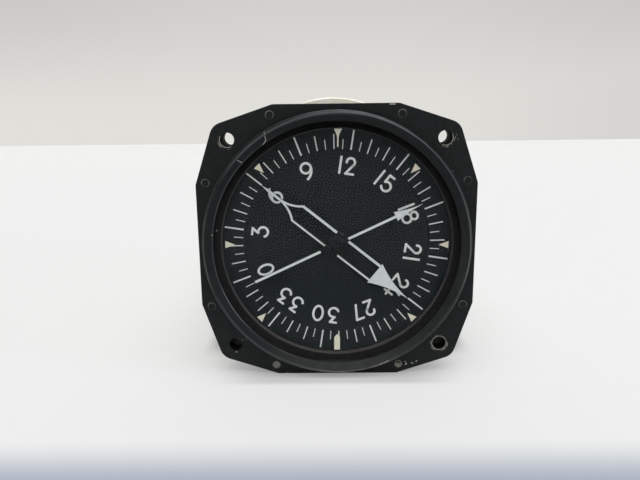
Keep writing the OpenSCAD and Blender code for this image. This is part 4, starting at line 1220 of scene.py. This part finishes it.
class AddScale(IndicatorOperator, bpy.types.Operator):
    """Scale lines of three lengths round the card, one every five degrees"""

    bl_idname = "indicator.add_scale"
    bl_label = "Card scale"

    # How often a line comes, in degrees, with the radius of its outer end and its width
    LINES = [(30, 34.1 * MM, 0.47 * MM), (10, 32.6 * MM, 0.34 * MM), (5, 31.1 * MM, 0.24 * MM)]

    def execute(self, context):
        dial = context.scene.indicator_dial
        bm = bmesh.new()
        for mark in range(0, 360, 5):
            outer, width = next((o, w) for step, o, w in self.LINES if mark % step == 0)
            sections = [(-outer, width), (-dial.scale_inner, width)]
            verts = add_taper(bm, sections, 2 * dial.paint_height)
            place = clock_matrix(mark - HEADING, 0, CARD_FRONT + dial.paint_height)
            bmesh.ops.transform(bm, matrix=place, verts=verts)
        white = marking_paint("scale_white", context.scene.indicator_finish.marking)
        add_piece("card_scale", bm, white, "card")
        return {"FINISHED"}


class AddNumerals(IndicatorOperator, bpy.types.Operator):
    """Numerals every thirty degrees, their tops outward"""

    bl_idname = "indicator.add_numerals"
    bl_label = "Card numerals"

    # Strokes of each digit on a plan 4.7 units high, centred on 0, 0:
    # bar (start, end), bow (centre, radius, start angle, sweep), loop (centre, half width, half height)
    PLAN_HEIGHT = 4.7
    DIGITS = {
        "0": [("loop", (0, 0), 1.45, 2.35)],
        "1": [("bar", (0, -2.35), (0, 2.35))],
        "2": [("bow", (0, 1.15), 1.2, 188, -236), ("bar", (0.80, 0.26), (-1.15, -2.35)),
              ("bar", (-1.15, -2.35), (1.15, -2.35))],
        "3": [("bar", (-1.15, 2.35), (0.8, 2.35)), ("bar", (0.8, 2.35), (-0.45, 0.6)),
              ("bow", (0.05, -0.88), 1.47, 108, -263)],
        "4": [("bar", (-2.0, -1.2), (-0.75, 2.35)), ("bar", (0.5, 0.45), (0.5, -2.35)),
              ("bar", (-2.0, -1.2), (1.4, -1.2))],
        "5": [("bar", (-1.1, 2.35), (0.55, 2.35)), ("bar", (-1.1, 2.35), (-1.1, 0.1)),
              ("bow", (0, -0.95), 1.42, 140, -290)],
        "6": [("loop", (0, -0.85), 1.5, 1.5), ("bow", (2.03, -0.85), 3.53, 180, -66)],
        "7": [("bar", (-1.05, 2.35), (1.25, 2.35)), ("bar", (1.25, 2.35), (-0.1, -2.35))],
        "8": [("loop", (0, 1.33), 1.15, 1.02), ("loop", (0, -1.02), 1.4, 1.33)],
        "9": [("loop", (0, 0.85), 1.5, 1.5), ("bow", (-2.03, 0.85), 3.53, 0, -66)],
    }
    # Where each digit of a numeral is centred, in millimetres clockwise of the numeral's line
    CENTRES = {
        "0": [-0.1], "3": [-0.2], "6": [-0.35], "9": [-0.26], "12": [-2.36, 0.60], "15": [-2.30, 0.96],
        "18": [-2.36, 1.0], "21": [-1.25, 1.86], "24": [-2.60, 1.93], "27": [-1.77, 1.93],
        "30": [-2.54, 2.30], "33": [-2.62, 1.94],
    }
    STROKE_RISE = 0.004 * MM
    DEGREES_PER_UNIT = 10

    def execute(self, context):
        dial = context.scene.indicator_dial
        bm = bmesh.new()
        depth = CARD_FRONT + CARD_SUNK_DEPTH + dial.paint_height
        shift = Matrix.Translation((0, 0, dial.print_shift))
        for label, centres in self.CENTRES.items():
            angle = self.DEGREES_PER_UNIT * int(label) - HEADING
            line = shift @ clock_matrix(angle, dial.numeral_reach, depth)
            for digit, centre in zip(label, centres):
                verts = self.digit(bm, digit, dial)
                place = line @ Matrix.Translation((centre * MM, 0, 0))
                bmesh.ops.transform(bm, matrix=place, verts=verts)
        white = marking_paint("numeral_white", context.scene.indicator_finish.marking)
        add_piece("card_numerals", bm, white, "card")
        return {"FINISHED"}

    def digit(self, bm, digit, dial):
        """Each stroke stands a hair prouder than the one before, so that no two faces share a plane."""
        unit = dial.numeral_height / self.PLAN_HEIGHT
        width = dial.numeral_stroke
        verts = []
        for i, (kind, *shape) in enumerate(self.DIGITS[digit]):
            height = 2 * dial.paint_height + i * self.STROKE_RISE
            first = Vector(shape[0]) * unit
            if kind == "bar":
                verts += add_bar(bm, first, Vector(shape[1]) * unit, width, height)
            elif kind == "bow":
                radius, start, sweep = shape[1:]
                verts += add_bow(bm, first, radius * unit, start, sweep, width, height)
            else:
                half_width, half_height = (s * unit for s in shape[1:])
                verts += add_loop(bm, first, half_width, half_height, width, height)
        return verts


class AddIndexMarks(IndicatorOperator, bpy.types.Operator):
    """Cream marks painted on the inner face of the glass, one every forty-five degrees"""

    bl_idname = "indicator.add_index_marks"
    bl_label = "Index marks"

    # Sections of each kind of mark in millimetres from its outer end, and its width there
    ARROW = [(0, 2.2), (2.85, 0.06)]
    LUBBER = [(0, 2.35), (1.0, 1.35), (2.0, 0.62), (2.7, 0.42), (5.2, 0.40)]
    TAB = [(0, 1.78), (4.0, 1.78), (5.1, 0.06)]
    # Clock angle, distance outward in millimetres and kind of each mark, as painted by hand
    MARKS = [
        (0.95, 1.05, LUBBER), (180.1, 0, TAB), (-134.3, 0, ARROW), (-89.1, 0, ARROW),
        (-44.0, 0, ARROW), (45.4, 0, ARROW), (90.2, 0, ARROW), (135.0, 0, ARROW),
    ]
    GLASS_GAP = 0.015 * MM
    THICKNESS = 0.02 * MM

    def execute(self, context):
        dial = context.scene.indicator_dial
        bm = bmesh.new()
        for angle, outward, outline in self.MARKS:
            sections = [(distance * MM, width * MM) for distance, width in outline]
            verts = add_taper(bm, sections, self.THICKNESS)
            reach = dial.index_reach + outward * MM
            place = clock_matrix(angle, reach, GLASS_BACK + self.GLASS_GAP)
            bmesh.ops.transform(bm, matrix=place, verts=verts)
        cream = marking_paint("index_cream", context.scene.indicator_finish.index)
        add_piece("index_marks", bm, cream, "case")
        return {"FINISHED"}


def front_surface(radius):
    """Depth of the bezel's front surface at a distance from the axis."""
    cone = CREST_RADIUS - CREST_WIDTH
    if radius > RING_RADIUS:
        return 0
    if radius > CREST_RADIUS:
        return CREST_FRONT + (radius - CREST_RADIUS) / BEVEL_WIDTH * BEVEL_DEPTH
    if radius > cone:
        return CREST_FRONT
    return CREST_FRONT + (cone - radius) / (cone - LIP_RADIUS) * (LIP_FRONT - CREST_FRONT)


class AddChips(IndicatorOperator, bpy.types.Operator):
    """Scratches and small chips in the enamel, laid on the bezel's front"""

    bl_idname = "indicator.add_chips"
    bl_label = "Paint chips"

    # Chips as x, z, length, width in millimetres and turn in degrees
    CHIPS = [
        (-35.3, 5.2, 0.3, 0.17, 20), (-36.65, 4.0, 0.25, 0.16, 70), (34.3, 31.4, 0.16, 0.14, 0),
        (34.0, 30.6, 0.16, 0.12, 40), (33.3, 29.6, 0.18, 0.13, 20), (34.6, 32.2, 0.14, 0.12, 0),
        (35.0, 30.9, 0.13, 0.12, 0), (-31.4, -34.0, 0.45, 0.16, 85),
        (-29.4, -30.0, 0.14, 0.12, 0), (-28.2, -29.8, 0.13, 0.11, 30), (21.4, -38.4, 0.5, 0.3, 20),
        (21.1, -37.6, 0.3, 0.16, 60), (23.3, -38.1, 0.5, 0.22, 100), (24.6, -37.5, 0.42, 0.26, 60),
        (16.1, 41.0, 1.5, 0.25, 90), (33.8, 21.7, 0.14, 0.12, 0),
    ]
    CHIP_SIDES = 12
    RAGGEDNESS = 0.07
    # Scratches on the ring as lists of points x, z in millimetres
    SCRATCHES = [
        [(-20.3, 33.8), (-19.9, 31.4), (-20.8, 30.2)],
        [(-28.1, 25.9), (-27.0, 25.2)],
        [(12.9, -36.5), (14.3, -36.0), (15.6, -35.3)],
    ]
    SCRATCH_WIDTH = 0.15 * MM
    SCRATCH_STEP = 0.3 * MM
    SCRATCH_SIDES = 8
    THICKNESS = 0.02 * MM
    SUNK = 0.01 * MM

    def execute(self, context):
        bm = bmesh.new()
        for i, (x, z, length, width, turn) in enumerate(self.CHIPS):
            direction = Vector(clock_point(length / 2, turn)) * MM
            middle = Vector((x, z)) * MM
            ends = middle - direction, middle + direction
            verts = add_bar(bm, *ends, width * MM, self.THICKNESS, self.CHIP_SIDES)
            for v in verts:
                v.co.x += self.RAGGEDNESS * width * MM * math.sin(5 * v.index + 2.3 * i)
            self.lay(bm, verts)
        for points in self.SCRATCHES:
            for start, end in zip(points, points[1:]):
                self.scratch(bm, Vector(start) * MM, Vector(end) * MM)
        scuffed = metal("chipped_metal", (0.56, 0.55, 0.49), 0.45, (900, 900, 900), 0.2, 0.3)
        add_piece("paint_chips", bm, scuffed, "case")
        return {"FINISHED"}

    def scratch(self, bm, start, end):
        """Short bars end to end, so that the scratch follows the ring's slopes."""
        steps = max(1, round((end - start).length / self.SCRATCH_STEP))
        for i in range(steps):
            ends = [start.lerp(end, (i + j) / steps) for j in (0, 1)]
            bar = add_bar(bm, *ends, self.SCRATCH_WIDTH, self.THICKNESS, self.SCRATCH_SIDES)
            self.lay(bm, bar)

    def lay(self, bm, verts):
        """Turns a flat mark to face front and lays it on the bezel's surface, half sunk in."""
        bmesh.ops.transform(bm, matrix=clock_matrix(0), verts=verts)
        for v in verts:
            v.co.y += front_surface(math.hypot(v.co.x, v.co.z)) + self.SUNK


class AddConnectorThread(IndicatorOperator, bpy.types.Operator):
    """Coupling thread round the rear connector's barrel"""

    bl_idname = "indicator.add_connector_thread"
    bl_label = "Connector thread"

    BARREL_RADIUS = 10.4 * MM
    RIDGE = (0.35 * MM, 0.42 * MM)
    PITCH = 1.0 * MM
    TURNS = 10
    STEPS_PER_TURN = 48
    END_GAP = 1.4 * MM

    def execute(self, context):
        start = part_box("connector_shell")[1].y - self.END_GAP - self.PITCH * self.TURNS
        place = Matrix.Translation((self.BARREL_RADIUS, start, 0))
        bm = bmesh.new()
        ridge = bmesh.ops.create_circle(
            bm, segments=4, radius=1, matrix=place @ Matrix.Diagonal((*self.RIDGE, 1, 1)),
        )["verts"]
        bmesh.ops.contextual_create(bm, geom=list({e for v in ridge for e in v.link_edges}))
        bmesh.ops.spin(
            bm, geom=bm.verts[:] + bm.edges[:] + bm.faces[:], cent=(0, 0, 0), axis=(0, 1, 0),
            dvec=(0, self.PITCH / self.STEPS_PER_TURN, 0), angle=2 * math.pi * self.TURNS,
            steps=self.STEPS_PER_TURN * self.TURNS, use_duplicate=False,
        )
        plating = olive_plating("thread_plating")
        add_piece("connector_thread", bm, plating, "case")
        return {"FINISHED"}


OPERATORS = [
    SetStage, FinishFront, FinishGlass, FinishCase, FinishChassis, FinishGears, FinishMachines,
    FinishBoard, FinishConnector, FinishCard, FinishPointers, AddScale, AddNumerals, AddIndexMarks,
    AddChips, AddConnectorThread,
]


class IndicatorPanel(bpy.types.Panel):
    """Lists the operators and the settings they read"""

    bl_idname = "INDICATOR_PT_looks"
    bl_label = "Indicator"
    bl_space_type = "VIEW_3D"
    bl_region_type = "UI"
    bl_category = "Indicator"

    def draw(self, context):
        scene = context.scene
        for group in (scene.indicator_stage, scene.indicator_dial, scene.indicator_finish):
            for name in group.__annotations__:
                self.layout.prop(group, name)
        for operator in OPERATORS:
            self.layout.operator(operator.bl_idname)


CLASSES = [StageSettings, DialSettings, FinishSettings, *OPERATORS, IndicatorPanel]


def register():
    for part in CLASSES:
        bpy.utils.register_class(part)
    bpy.types.Scene.indicator_stage = bpy.props.PointerProperty(type=StageSettings)
    bpy.types.Scene.indicator_dial = bpy.props.PointerProperty(type=DialSettings)
    bpy.types.Scene.indicator_finish = bpy.props.PointerProperty(type=FinishSettings)


def unregister():
    del bpy.types.Scene.indicator_finish
    del bpy.types.Scene.indicator_dial
    del bpy.types.Scene.indicator_stage
    for part in reversed(CLASSES):
        bpy.utils.unregister_class(part)


def main():
    """Runs every operator in order."""
    register()
    for operator in OPERATORS:
        getattr(bpy.ops.indicator, operator.bl_idname.split(".")[1])()


if __name__ == "__main__":
    main()
